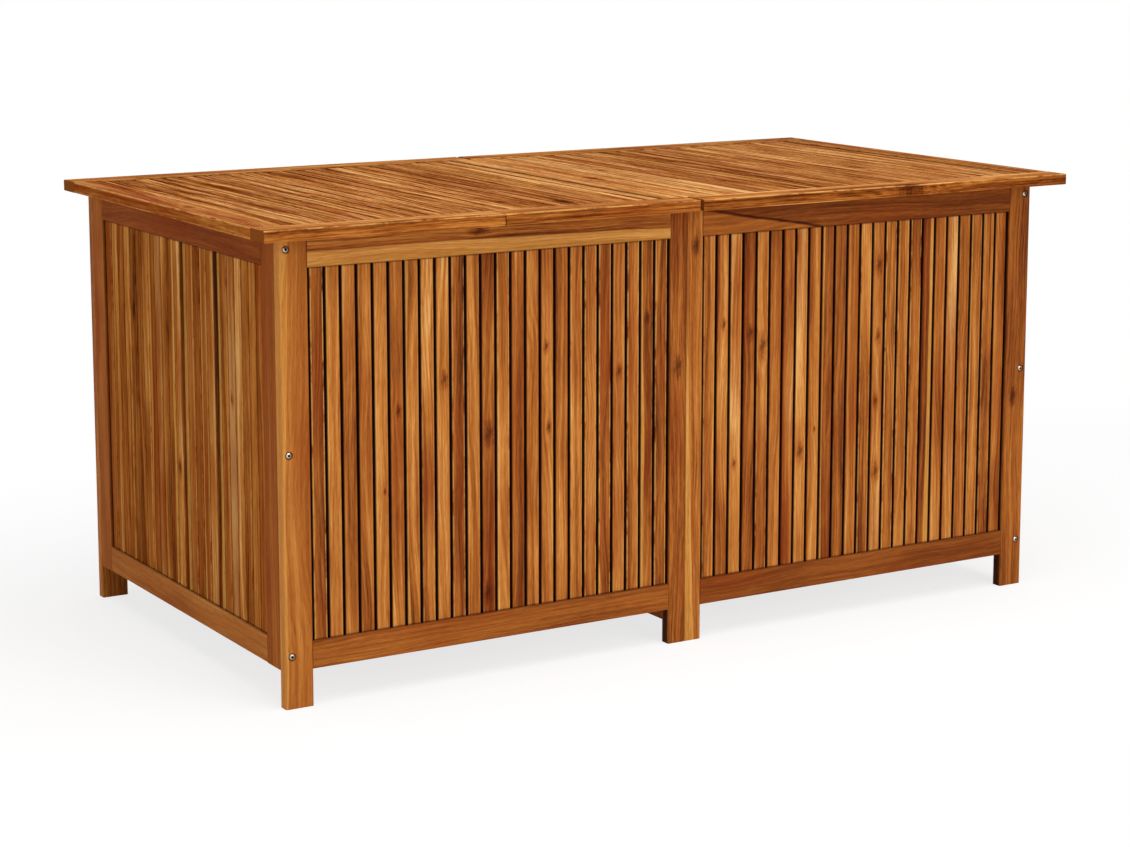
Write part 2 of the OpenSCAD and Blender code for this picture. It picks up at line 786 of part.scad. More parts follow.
module left_lid_front_rail() color(lidwood) at_left_lid() lid_rail();
module left_lid_back_rail() color(lidwood) at_left_lid() lid_back_rail();
module left_lid_outer_stile() color(lidwood) at_left_lid() lid_stile(lid_stiles[0]);
module left_lid_inner_stile() color(lidwood) at_left_lid() lid_stile(lid_stiles[1]);
module left_lid_slats() color(slatwood) at_left_lid() lid_slats();
module left_lid_battens() color(shadewood) at_left_lid() lid_battens();

module right_lid_front_rail() color(lidwood) at_right_lid() lid_rail();
module right_lid_back_rail() color(lidwood) at_right_lid() lid_back_rail();
module right_lid_outer_stile() color(lidwood) at_right_lid() lid_stile(lid_stiles[0]);
module right_lid_inner_stile() color(lidwood) at_right_lid() lid_stile(lid_stiles[1]);
module right_lid_slats() color(slatwood) at_right_lid() lid_slats();
module right_lid_battens() color(shadewood) at_right_lid() lid_battens();

module centre_beam()
    color(shadewood)
        difference() {
            board_along_y([-beam_w / 2, front_y + board_t, floor_z - beam_h],
                          [beam_w / 2, back_y - board_t, floor_z]);
            at_left_end() floor_beam_screws() screw_hole(long_screw);
            at_right_end() floor_beam_screws() screw_hole(long_screw);
            at_beam_corners() bracket_screws() screw_hole(short_screw);
        }

module floor_cleats()
    color(shadewood) {
        at_left_end() floor_cleat();
        at_right_end() floor_cleat();
    }

module left_floor_slats() color(shadewood) at_left_end() floor_slats();
module right_floor_slats() color(shadewood) at_right_end() floor_slats();

module hinge_body_leaves()
    color(steel) {
        at_left_hinges() body_leaf();
        at_right_hinges() body_leaf();
    }

module left_hinge_lid_leaves() color(steel) at_left_hinges() lid_leaf();
module right_hinge_lid_leaves() color(steel) at_right_hinges() lid_leaf();

module hinge_pins()
    color(steel) {
        at_left_hinges() hinge_pin();
        at_right_hinges() hinge_pin();
    }

module corner_bolts() color(steel) at_corners() corner_places() bolt();
module cross_dowels() color(steel) at_corners() corner_places() cross_dowel();

module seam_plates()
    color(steel) {
        at_front_seam() seam_plate_pair();
        at_back_seam() seam_plate_pair();
    }

module beam_brackets() color(steel) at_beam_corners() bracket();

// Short screws in the body: seam plates, beam brackets and hinge leaves
module fitting_screws()
    color(steel) {
        at_front_seam() plate_screws() screw(short_screw);
        at_back_seam() plate_screws() screw(short_screw);
        at_beam_corners() bracket_screws() screw(short_screw);
        at_left_hinges() body_leaf_screws() screw(short_screw);
        at_right_hinges() body_leaf_screws() screw(short_screw);
    }

// Long screws in the floor slats and the cleats
module floor_screws()
    color(steel) {
        at_left_end() floor_half_screws();
        at_right_end() floor_half_screws();
    }

module floor_half_screws() {
    floor_end_screws() screw(long_screw);
    floor_beam_screws() screw(long_screw);
    cleat_screws() screw(long_screw);
}

module left_lid_screws()
    color(steel) {
        at_left_hinges() lid_leaf_screws() screw(short_screw);
        at_left_lid() batten_screws() screw(long_screw);
    }

module right_lid_screws()
    color(steel) {
        at_right_hinges() lid_leaf_screws() screw(short_screw);
        at_right_lid() batten_screws() screw(long_screw);
    }

front_left_outer_stile();
front_left_inner_stile();
front_left_top_rail();
front_left_bottom_rail();
front_left_slats();
front_right_outer_stile();
front_right_inner_stile();
front_right_top_rail();
front_right_bottom_rail();
front_right_slats();
back_left_outer_stile();
back_left_inner_stile();
back_left_top_rail();
back_left_bottom_rail();
back_left_slats();
back_right_outer_stile();
back_right_inner_stile();
back_right_top_rail();
back_right_bottom_rail();
back_right_slats();
left_end_front_stile();
left_end_back_stile();
left_end_top_rail();
left_end_bottom_rail();
left_end_slats();
right_end_front_stile();
right_end_back_stile();
right_end_top_rail();
right_end_bottom_rail();
right_end_slats();
left_lid_front_rail();
left_lid_back_rail();
left_lid_outer_stile();
left_lid_inner_stile();
left_lid_slats();
left_lid_battens();
right_lid_front_rail();
right_lid_back_rail();
right_lid_outer_stile();
right_lid_inner_stile();
right_lid_slats();
right_lid_battens();
centre_beam();
floor_cleats();
left_floor_slats();
right_floor_slats();
hinge_body_leaves();
left_hinge_lid_leaves();
right_hinge_lid_leaves();
hinge_pins();
corner_bolts();
cross_dowels();
seam_plates();
beam_brackets();
fitting_screws();
floor_screws();
left_lid_screws();
right_lid_screws();
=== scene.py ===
"""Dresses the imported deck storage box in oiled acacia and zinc-plated steel, and sets its studio."""

import collections
import json
import math

import bpy
import mathutils
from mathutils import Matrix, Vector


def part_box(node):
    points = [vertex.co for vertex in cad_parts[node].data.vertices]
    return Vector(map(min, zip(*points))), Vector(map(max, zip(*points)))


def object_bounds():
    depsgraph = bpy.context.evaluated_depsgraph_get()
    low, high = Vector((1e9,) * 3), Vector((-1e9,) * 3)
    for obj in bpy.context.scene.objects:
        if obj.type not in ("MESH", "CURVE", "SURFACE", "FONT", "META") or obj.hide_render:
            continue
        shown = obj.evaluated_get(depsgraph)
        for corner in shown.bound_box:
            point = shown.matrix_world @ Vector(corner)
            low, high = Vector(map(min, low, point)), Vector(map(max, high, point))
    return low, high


bl_info = {
    "name": "Deck storage box finishes",
    "version": (1, 0, 0),
    "blender": (4, 5, 0),
    "location": "3D View > Sidebar > Deck Box",
    "description": "Oiled acacia boards, zinc-plated fittings and a pale studio for a slatted deck box",
    "category": "Material",
}

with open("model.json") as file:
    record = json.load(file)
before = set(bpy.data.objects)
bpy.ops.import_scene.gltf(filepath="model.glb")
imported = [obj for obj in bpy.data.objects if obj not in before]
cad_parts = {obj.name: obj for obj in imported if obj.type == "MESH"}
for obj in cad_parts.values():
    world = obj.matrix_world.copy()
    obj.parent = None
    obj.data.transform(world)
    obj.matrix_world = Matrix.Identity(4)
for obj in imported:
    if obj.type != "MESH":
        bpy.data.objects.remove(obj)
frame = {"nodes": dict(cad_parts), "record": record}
cad_low, cad_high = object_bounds()

X, Y, Z = 0, 1, 2
FLOAT, VECTOR, COLOUR = "NodeSocketFloat", "NodeSocketVector", "NodeSocketColor"
TAU = 2 * math.pi

# Tones run from the darkest digit, 0, to the palest
PALEST_DIGIT = 9
TONE_START = 0.12
TONE_SPAN = 0.76

# How far apart in the log the boards of a row lie, the boards of one seed and the next, and the two
# lengths of a splice. SEED_GAP keeps the chances of two rows apart.
ROW_SCATTER = (5.0, 5.0, 9.0)
SEED_SCATTER = (1.37, 0.73, 2.11)
SPLICE_SCATTER = (1.9, 2.3, 3.1)
SEED_GAP = 37.0

# How squarely a face looks along an axis where its finish starts, and where it is full
FACING = (0.8, 0.95)
SIDEWAYS = (0.5, 0.75)
UPWARD = (0.5, 0.9)

# Where the thin dark lines at splices and band edges, and the strips of painted shade beside joints and
# rails, start to soften
LINE_START = 0.0004
STRIP_START = 0.0005

# How far from an arris the oil is fully rubbed off, and not at all. The paler rubbed edge is also a
# painted highlight along the arris
RUBBED_AND_HIGHLIT = (0.0011, 0.003)

# Sawn ends: how far aside and behind the heart of the tree lies, and the distance between the rings
HEART_ASIDE = 0.03
HEART_BEHIND = 0.04
END_RING_WIDTH = 0.0035

# A knot: its board in the row, its place along and across that board as shares of its size, and its
# radius
Knot = collections.namedtuple("Knot", "row along across radius")

# Sapwood or another band along one side of a board: the share of the width where it starts, the side
# it lies on (-1 or 1), how far that line leans along the board, how much of the colour is sapwood, how
# much paler the band is, and how dark the line itself is
BAND_FIELDS = "start side lean sapwood paler line"
Band = collections.namedtuple("Band", BAND_FIELDS, defaults=(0.0, 0.6, 0.0, 0.0))

# Two lengths of wood joined end to end: the share of the length where they meet, and how much paler
# the second one is
Splice = collections.namedtuple("Splice", "place paler")


def shade(code):
    """A linear colour from the six hexadecimal digits of a paint chart."""
    channels = [int(code[i : i + 2], 16) / 255 for i in (0, 2, 4)]
    return tuple(c / 12.92 if c <= 0.04045 else ((c + 0.055) / 1.055) ** 2.4 for c in channels)


def opaque(colour):
    """A colour with its alpha channel."""
    return (*colour[:3], 1)


# ---------------------------------------------------------------- sizes and colours


def colour_property(name, description, code):
    return bpy.props.FloatVectorProperty(
        name=name, description=description, subtype="COLOR", size=3, min=0, max=1, default=shade(code)
    )


def number_property(name, description, default, **options):
    return bpy.props.FloatProperty(name=name, description=description, default=default, **options)


def length_property(name, description, default):
    return number_property(name, description, default, min=0, unit="LENGTH", precision=4)


def share_property(name, description, default):
    return number_property(name, description, default, min=0, max=1, subtype="FACTOR")


def power_property(name, description, default):
    return number_property(name, description, default, min=0, unit="POWER")


def angle_property(name, description, degrees):
    return number_property(name, description, math.radians(degrees), unit="ROTATION")


def place_property(name, description, *default):
    return bpy.props.FloatVectorProperty(
        name=name, description=description, default=default, size=len(default), unit="LENGTH"
    )


def tones_property(name, default):
    return bpy.props.StringProperty(
        name=name,
        description="One digit for each board in the row, from 0 for the darkest to 9 for the palest",
        default=default,
    )


class DeckBoxWood(bpy.types.PropertyGroup):
    """Colours and grain of the oiled acacia."""

    darkest: colour_property("Darkest heartwood", "Wood in the deepest growth bands", "3f1a08")
    dark: colour_property("Dark heartwood", "Darker boards", "743a14")
    middle: colour_property("Heartwood", "Most of the boards", "a05c23")
    light: colour_property("Light heartwood", "Paler boards", "c07e3a")
    palest: colour_property("Palest wood", "Wood in the palest growth bands", "deab68")
    sapwood: colour_property("Sapwood", "Pale wood from under the bark", "cf9543")
    knot: colour_property("Knots", "Heart of a knot", "3a190a")
    # Painted shade: the colour towards which the sides in the gaps and the strips beside joints and
    # rails are darkened, standing for the shade that falls there
    shadow: colour_property("Gap shadow", "Oil and dust in the gaps", "2c0e04")
    # A paler cast on upward faces: partly dry weathered wood, partly a painted sheen standing for the
    # reflection of the sky
    bloom: colour_property("Bloom", "Cast of the wood where the weather has dried it", "dcab92")
    # Paler colour of the eased edges: partly rubbed arrises, partly a painted highlight along them
    worn_and_highlit: colour_property("Worn edges", "Eased edges where the oil has rubbed off", "e2a659")
    redness: colour_property("Red cast", "Tint of the redder patches", "7f2f0c")
    end_grain: colour_property("End grain", "Sawn ends, where the oil soaks in", "562612")
    streak_width: length_property("Streak width", "Usual width of the streaks", 0.0042)
    fibre_width: length_property("Fibre width", "Usual width of the finest fibres", 0.0011)
    ring_width: length_property("Ring width", "Distance between growth rings", 0.0065)
    stretch: number_property("Stretch", "How much longer than wide the streaks are", 60, min=1)
    pore_depth: length_property("Pore depth", "Depth of the relief of the grain", 0.0003)
    sheen: share_property("Roughness", "Roughness of the oiled faces", 0.5)
    gloss: share_property("Gloss", "Strength of the reflection from the boards of the body", 0.03)
    lid_gloss: share_property("Lid gloss", "Strength of the reflection from the weathered lids", 0.0)
    # How far the eased edges pale, as rubbed arrises and as a painted highlight
    wear: share_property("Edge wear", "How far the eased edges have paled", 0.7)
    # How far the lid tops get the paler cast of weathering and painted sheen
    lid_bloom_and_sheen: share_property("Lid bloom", "How far the weather has dried the lids", 0.07)
    contrast: number_property("Contrast", "Strength of the figure", 1.0, min=0)
    # How wide and how dark the painted shade is beside the rails, beside joints and in the gaps
    rail_shade: length_property("Rail shade", "Width of the dark strip on a slat beside a rail", 0.003)
    joint_width: length_property("Joint line", "Width of the dark line beside a joint", 0.002)
    gap_shade: share_property("Gap shade", "How far oil and dust darken the sides in the gaps", 0.95)


class DeckBoxBody(bpy.types.PropertyGroup):
    """Boards of the body."""

    slat_width: length_property("Slat width", "Width of an upright slat", 0.022)
    tucked: length_property("Hidden ends", "Length of each end of a slat in the groove of a rail", 0.008)
    front_left: tones_property("Front left slats", "466664447363655425445442")
    front_right: tones_property("Front right slats", "647154375226373613654425")
    back_left: tones_property("Back left slats", "546365247546356445362545")
    back_right: tones_property("Back right slats", "453645273564454635563644")
    left_end: tones_property("Left end slats", "675985084361625856424484")
    right_end: tones_property("Right end slats", "545364435546453653544635")


class DeckBoxLids(bpy.types.PropertyGroup):
    """Boards of the two lids."""

    slat_width: length_property("Lid slat width", "Width of a lid slat", 0.0235)
    batten_width: length_property("Batten width", "Width of a batten", 0.04)
    left_lid: tones_property("Left lid slats", "365435456555356546455487")
    right_lid: tones_property("Right lid slats", "687936552354654665556694")


class DeckBoxFloor(bpy.types.PropertyGroup):
    """Boards of the floor."""

    slat_width: length_property("Floor slat width", "Width of a floor slat", 0.06)
    cleat_width: length_property("Cleat width", "Width of a cleat", 0.022)
    left_floor: tones_property("Left floor slats", "4536354453")
    right_floor: tones_property("Right floor slats", "5435463545")


class DeckBoxFittings(bpy.types.PropertyGroup):
    """Zinc-plated steel."""

    steel: colour_property("Steel", "Zinc plating", "c8c4bc")
    dull_steel: colour_property("Dull steel", "Plating that has dulled", "9c978f")
    roughness: share_property("Steel roughness", "Roughness of the plating", 0.34)
    grain: length_property("Brush marks", "Width of the brush marks", 0.0006)
    mark_depth: length_property("Mark depth", "Depth of the brush marks", 0.0001)
    bolt_head: length_property("Bolt head", "Diameter of a bolt head", 0.0105)
    socket: length_property("Socket", "Width of the hexagon socket in a bolt head", 0.004)
    # Painted shade laid dark in the hexagon sockets of the bolts
    socket_shade: colour_property("Socket Shade", "Dark grime in the sockets", "1d1712")


class DeckBoxStudio(bpy.types.PropertyGroup):
    """Floor, lamps and camera."""

    floor: colour_property("Floor", "Pale floor", "fbfaf9")
    backdrop: colour_property("Backdrop", "Seen behind and reflected", "ffffff")
    floor_radius: length_property("Floor radius", "Radius of the round floor", 40)
    # The painted glow that pales the floor and lightens the shadow of the box: its share near the box,
    # where its fade into the backdrop starts and ends, and the area under the box that is left without
    # it
    floor_glow: share_property("Floor Glow", "How far the floor is paled at its middle", 0.76)
    fade_from: length_property("Fade from", "Where the floor starts to pale into the backdrop", 0.5)
    fade_to: length_property("Fade to", "Where the floor has paled into the backdrop", 1.5)
    hidden_middle: place_property("Hidden middle", "Middle of the floor hidden under the box", 0.08, 0.1)
    hidden_reach: place_property("Hidden reach", "Half the size of the hidden floor", 0.56, 0.26)
    hidden_blur: length_property("Hidden blur", "Softness of the edge of the hidden floor", 0.04)
    surround: number_property("Surround", "Light from all round", 0.3, min=0)
    overhead: power_property("Overhead", "Large lamp overhead", 108)
    front: power_property("Front", "Large lamp before the long side", 98)
    left: power_property("Left", "Lamp before the left end", 34)
    camera_place: place_property("Camera", "Place of the camera", -2.2913, -3.7874, 1.1952)
    camera_turn: angle_property("Turn", "Turn of the camera to the right", 31.12)
    camera_dip: angle_property("Dip", "Dip of the camera", 9.01)
    lens: number_property("Lens", "Focal length", 83.5, unit="CAMERA")
    rise: number_property("Rise", "Rise of the lens, as a share of the film's width", -0.1)


# ---------------------------------------------------------------- small node helpers


def feed(tree, value, socket):
    """Joins a socket to another one, or sets it to a plain value."""
    if isinstance(value, bpy.types.NodeSocket):
        tree.links.new(value, socket)
    else:
        socket.default_value = value


def connect(tree, node, values):
    """Feeds several inputs of a node, each by its name."""
    for name, value in values.items():
        feed(tree, value, node.inputs[name])


def fill(tree, node, values):
    """Feeds the first inputs of a node in their order."""
    for value, socket in zip(values, node.inputs):
        feed(tree, value, socket)


def calc(tree, operation, *values, clamp=False):
    node = tree.nodes.new("ShaderNodeMath")
    node.operation = operation
    node.use_clamp = clamp
    fill(tree, node, values)
    return node.outputs[0]


def times(tree, first, second, clamp=False):
    return calc(tree, "MULTIPLY", first, second, clamp=clamp)


def minus(tree, first, second):
    """The first value less the second."""
    return calc(tree, "SUBTRACT", first, second)


def apart(tree, first, second):
    """How far apart two values are."""
    return calc(tree, "ABSOLUTE", minus(tree, first, second))


def vector_calc(tree, operation, *values):
    node = tree.nodes.new("ShaderNodeVectorMath")
    node.operation = operation
    fill(tree, node, values)
    return node.outputs["Value" if operation == "LENGTH" else "Vector"]


def split(tree, vector):
    node = tree.nodes.new("ShaderNodeSeparateXYZ")
    feed(tree, vector, node.inputs[0])
    return node.outputs[0], node.outputs[1], node.outputs[2]


def combine(tree, x, y, z):
    node = tree.nodes.new("ShaderNodeCombineXYZ")
    fill(tree, node, (x, y, z))
    return node.outputs[0]


def noise(tree, vector, scale, detail=2.0, roughness=0.5, distortion=0.0):
    """Smooth noise from 0 to 1 with a mean of a half."""
    node = tree.nodes.new("ShaderNodeTexNoise")
    connect(tree, node, {"Vector": vector, "Scale": scale, "Detail": detail})
    connect(tree, node, {"Roughness": roughness, "Distortion": distortion})
    return node.outputs["Fac"]


def ramp_up(tree, value, start, end, low=0.0, high=1.0):
    """Smooth step from low at start to high at end."""
    node = tree.nodes.new("ShaderNodeMapRange")
    node.interpolation_type = "SMOOTHSTEP"
    fill(tree, node, (value, start, end, low, high))
    return node.outputs[0]


def mix(tree, share, first, second):
    node = tree.nodes.new("ShaderNodeMix")
    node.data_type = "RGBA"
    feed(tree, share, node.inputs[0])
    feed(tree, first, node.inputs[6])
    feed(tree, second, node.inputs[7])
    return node.outputs[2]


def palette(tree, value, stops, interpolation="LINEAR"):
    """Colours along a ramp, from pairs of place and colour."""
    node = tree.nodes.new("ShaderNodeValToRGB")
    ramp = node.color_ramp
    ramp.interpolation = interpolation
    while len(ramp.elements) < len(stops):
        ramp.elements.new(1)
    for element, (place, colour) in zip(ramp.elements, stops):
        element.position = place
        element.color = opaque(colour)
    feed(tree, value, node.inputs[0])
    return node.outputs[0]


def centred(tree, value, gain):
    """Noise moved to a mean of nothing, times a gain."""
    return times(tree, minus(tree, value, 0.5), gain)


def total(tree, *values):
    result = values[0]
    for value in values[1:]:
        result = calc(tree, "ADD", result, value)
    return result


def new_group(name, vectors, numbers, outputs):
    """Empty node group with its sockets. numbers holds the usual value of each number that goes in."""
    group = bpy.data.node_groups.new(name, "ShaderNodeTree")
    for title in vectors:
        group.interface.new_socket(name=title, in_out="INPUT", socket_type=VECTOR)
    for title, value in numbers.items():
        socket = group.interface.new_socket(name=title, in_out="INPUT", socket_type=FLOAT)
        socket.default_value = value
    for title, kind in outputs.items():
        group.interface.new_socket(name=title, in_out="OUTPUT", socket_type=kind)
    start = group.nodes.new("NodeGroupInput")
    end = group.nodes.new("NodeGroupOutput")
    return group, start.outputs, end.inputs


def use_group(tree, group, values):
    """Puts a node group in a tree and returns what comes out of it."""
    node = tree.nodes.new("ShaderNodeGroup")
    node.node_tree = group
    connect(tree, node, values)
    return node.outputs


def relief(tree, height, depth, strength):
    bump = tree.nodes.new("ShaderNodeBump")
    connect(tree, bump, {"Strength": strength, "Distance": depth, "Height": height})
    return bump.outputs[0]


def new_material(name):
    """New material, with its tree and its shader."""
    material = bpy.data.materials.new(name)
    material.use_nodes = True
    tree = material.node_tree
    shader = next(node for node in tree.nodes if node.type == "BSDF_PRINCIPLED")
    return material, tree, shader


# ---------------------------------------------------------------- acacia


def acacia_group():
    """Node group that turns a point of a board into oiled acacia.

    Point is the place across, through and along the board, from the middle of its width and thickness.
    """
    name = "oiled acacia"
    if name in bpy.data.node_groups:
        return bpy.data.node_groups[name]
    wood = bpy.context.scene.deck_box_wood
    group, given, result = new_group(
        name,
        vectors=["Point", "Shift"],
        numbers={
            "Tone": 0.5,
            "Half Width": 0.02,
            "Half Thickness": 0.01,
            "Contrast": 1.0,
            "Fine": 1.0,
            "Red": 0.0,
            "Bloom": 0.0,
            "Wear": 0.0,
            "Band Edge": 1.0,
            "Band Side": 1.0,
            "Band Sapwood": 0.6,
            "Band Paler": 0.0,
            "Band Line": 0.0,
            "Gap": 0.0,
            "Gap Depth": 0.002,
            "Shade": 0.0,
            "Knot": 0.0,
            "Swirl": 0.0,
            "End": 0.0,
        },
        outputs={"Color": COLOUR, "Roughness": FLOAT, "Height": FLOAT},
    )
    across, through, _ = split(group, given["Point"])
    log = vector_calc(group, "ADD", given["Point"], given["Shift"])
    log_x, log_y, log_z = split(group, log)

    # The grain wanders a little along the board and bends round the knots
    slow = combine(group, log_x, log_y, times(group, log_z, 0.3))
    wander = centred(group, noise(group, slow, 7.0, 2.0, 0.5), 0.05)
    grain_x = total(group, log_x, wander, given["Swirl"])
    grain = combine(group, grain_x, log_y, calc(group, "DIVIDE", log_z, wood.stretch))
    short_grain = combine(group, grain_x, log_y, calc(group, "DIVIDE", log_z, wood.stretch / 3))

    # Growth rings, which show as long flames on the flat faces
    bow = centred(group, noise(group, slow, 11.0, 1.0, 0.4), 0.06)
    ring_place = calc(group, "DIVIDE", calc(group, "ADD", grain_x, bow), wood.ring_width)
    ring = calc(group, "SINE", times(group, ring_place, TAU))
    ring_strength = ramp_up(group, noise(group, slow, 16.0, 1.0), 0.4, 0.65)
    rings = times(group, ring, times(group, ring_strength, 0.05))

    patches = noise(group, slow, 9.0, 3.0, 0.55, 0.4)
    bands = noise(group, grain, 50.0, 2.0, 0.5)
    streaks = noise(group, grain, 1 / wood.streak_width, 4.0, 0.65)
    fibres = noise(group, short_grain, 1 / wood.fibre_width, 2.0, 0.6)
    broad_tone = total(group, rings, centred(group, patches, 0.75), centred(group, bands, 0.95))
    crisp = ramp_up(group, streaks, 0.38, 0.62)
    fine_tone = total(
        group, centred(group, streaks, 0.6), centred(group, crisp, 0.2), centred(group, fibres, 0.7)
    )

    # A band past a wavering line: pale sapwood, or wood of another tone
    waver = centred(group, noise(group, grain, 90.0, 2.0, 0.5), 0.006)
    drifting = total(group, across, times(group, wander, 0.35), waver)
    band_depth = minus(group, drifting, given["Band Edge"])
    band_depth = times(group, band_depth, given["Band Side"])
    band = ramp_up(group, band_depth, 0.0, 0.002)
    from_line = calc(group, "ABSOLUTE", band_depth)
    band_line = ramp_up(group, from_line, LINE_START, 0.004, given["Band Line"], 0.0)

    figure = total(
        group,
        given["Tone"],
        times(group, broad_tone, given["Contrast"]),
        times(group, fine_tone, given["Fine"]),
        times(group, band, given["Band Paler"]),
        times(group, band_line, -0.4),
        ramp_up(group, given["Knot"], 0.08, 0.75, 0.0, -0.21),
    )
    shades = (wood.darkest, wood.dark, wood.middle, wood.light, wood.palest)
    heart = palette(group, figure, [(i / 4, colour) for i, colour in enumerate(shades)])

    # Redder patches
    red_share = ramp_up(group, noise(group, slow, 13.0, 2.0, 0.5), 0.45, 0.75, 0.0, 0.4)
    red_share = calc(group, "ADD", red_share, given["Red"], clamp=True)
    colour = mix(group, red_share, heart, opaque(wood.redness))

    # Sapwood has its own palette
    sap_tone = total(
        group, centred(group, streaks, 4.4), centred(group, fibres, 3.0), centred(group, bands, 3.0)
    )
    sap_tone = times(group, sap_tone, given["Fine"])
    darker = times(group, sap_tone, -1.0, clamp=True)
    paler = times(group, sap_tone, 1.0, clamp=True)
    sapwood = mix(group, darker, opaque(wood.sapwood), opaque(wood.light))
    sapwood = mix(group, paler, sapwood, opaque(wood.palest))
    colour = mix(group, times(group, band, given["Band Sapwood"]), colour, sapwood)

    # Knots with a dark heart
    knot_heart = ramp_up(group, given["Knot"], 0.74, 0.98, 0.0, 0.65)
    colour = mix(group, knot_heart, colour, opaque(wood.knot))

    # Paler cast on upward faces, in drifts: partly dry weathered wood, partly a painted sheen standing
    # for the reflection of the sky
    drift = ramp_up(group, noise(group, slow, 21.0, 3.0, 0.6), 0.3, 0.7, 0.5, 1.5)
    drift = times(group, drift, ramp_up(group, figure, 0.1, 0.8))
    colour = mix(group, times(group, drift, given["Bloom"]), colour, opaque(wood.bloom))

    # Open pores, short dark dashes along the grain
    dashes = combine(group, grain_x, log_y, times(group, log_z, 0.035))
    pore = ramp_up(group, noise(group, dashes, 1300.0, 1.0, 0.5), 0.6, 0.74)
    colour = mix(group, times(group, pore, 0.3), colour, opaque(wood.darkest))

    # Sawn ends with rings round the heart of the tree
    ring_x = calc(group, "ADD", log_x, HEART_ASIDE)
    from_heart = combine(group, ring_x, minus(group, through, HEART_BEHIND), 0.0)
    radius = vector_calc(group, "LENGTH", from_heart)
    radius = calc(group, "ADD", radius, centred(group, noise(group, log, 60.0, 2.0), 0.004))
    end_ring = calc(group, "SINE", times(group, radius, TAU / END_RING_WIDTH))
    speckle = noise(group, log, 700.0)
    end_tone = total(group, 0.5, times(group, end_ring, 0.22), centred(group, speckle, 0.8))
    end_share = calc(group, "ADD", end_tone, 0.0, clamp=True)
    end_colour = mix(group, end_share, opaque(wood.end_grain), opaque(wood.middle))
    colour = mix(group, given["End"], colour, end_colour)

    # Eased edges, rubbed a little paler here and there: real rubbed arrises, and a painted highlight
    # along the edges
    to_side = minus(group, given["Half Width"], calc(group, "ABSOLUTE", across))
    to_face = minus(group, given["Half Thickness"], calc(group, "ABSOLUTE", through))
    to_edge = calc(group, "MAXIMUM", to_side, to_face)
    rub_and_highlight = ramp_up(group, noise(group, log, 24.0, 3.0, 0.6), 0.35, 0.55)
    edge = ramp_up(group, to_edge, *RUBBED_AND_HIGHLIT, 1.0, 0.0)
    edge = times(group, edge, times(group, rub_and_highlight, given["Wear"]))
    colour = mix(group, edge, colour, opaque(wood.worn_and_highlit))

    # Painted shade: sides that face a gap or a joint, and strips beside the rails and joints, darkened
    # towards the gap shadow colour to stand for the shade that falls there
    gap = times(group, given["Gap"], ramp_up(group, to_face, 0.0001, given["Gap Depth"]))
    gap = times(group, calc(group, "MAXIMUM", gap, given["Shade"]), wood.gap_shade)
    colour = mix(group, gap, colour, opaque(wood.shadow))
    feed(group, colour, result["Color"])

    dull = total(group, wood.sheen, centred(group, streaks, 0.25), times(group, pore, 0.15))
    dull = total(group, dull, times(group, given["End"], 0.2), times(group, knot_heart, -0.08))
    feed(group, dull, result["Roughness"])
    rise = centred(group, fibres, 1.0)
    height = total(group, rise, centred(group, streaks, 0.6), times(group, pore, -0.6))
    height = minus(group, height, times(group, knot_heart, 0.5))
    feed(group, height, result["Height"])
    return group


def knot_group():
    """Node group for one knot: how deep a point lies in it, and how far it pushes the grain aside."""
    name = "knot"
    if name in bpy.data.node_groups:
        return bpy.data.node_groups[name]
    group, given, result = new_group(
        name,
        vectors=[],
        numbers={"Aside": 0.0, "Above": 0.0, "Radius": 0.006, "Knot": 0.0, "Swirl": 0.0},
        outputs={"Knot": FLOAT, "Swirl": FLOAT},
    )
    place = combine(group, given["Aside"], times(group, given["Above"], 0.42), 0.0)
    ripple = centred(group, noise(group, place, 170.0, 4.0, 0.7), 2.4)
    reach = calc(group, "DIVIDE", vector_calc(group, "LENGTH", place), given["Radius"])
    ray = vector_calc(group, "NORMALIZE", place)
    ray_x, ray_y, _ = split(group, ray)
    ray_place = combine(group, ray_x, ray_y, times(group, reach, 0.25))
    rays = noise(group, ray_place, 5.0, 3.0, 0.7)
    depth = total(group, reach, ripple, centred(group, rays, 1.8))
    depth = ramp_up(group, depth, 0.1, 2.2, 1.0, 0.0)
    feed(group, calc(group, "MAXIMUM", given["Knot"], depth), result["Knot"])
    long_place = combine(group, given["Aside"], times(group, given["Above"], 0.35), 0.0)
    long_reach = calc(group, "DIVIDE", vector_calc(group, "LENGTH", long_place), given["Radius"])
    pull = ramp_up(group, long_reach, 0.0, 3.2, -0.65, 0.0)
    swirl = times(group, pull, given["Aside"])
    feed(group, calc(group, "ADD", given["Swirl"], swirl), result["Swirl"])
    return group


def board_directions(low, high, grain):
    """The axes across and through the boards of a node whose grain runs along a given axis."""
    size = high - low
    others = sorted((axis for axis in (X, Y, Z) if axis != grain), key=lambda axis: size[axis])
    return others[1], others[0]


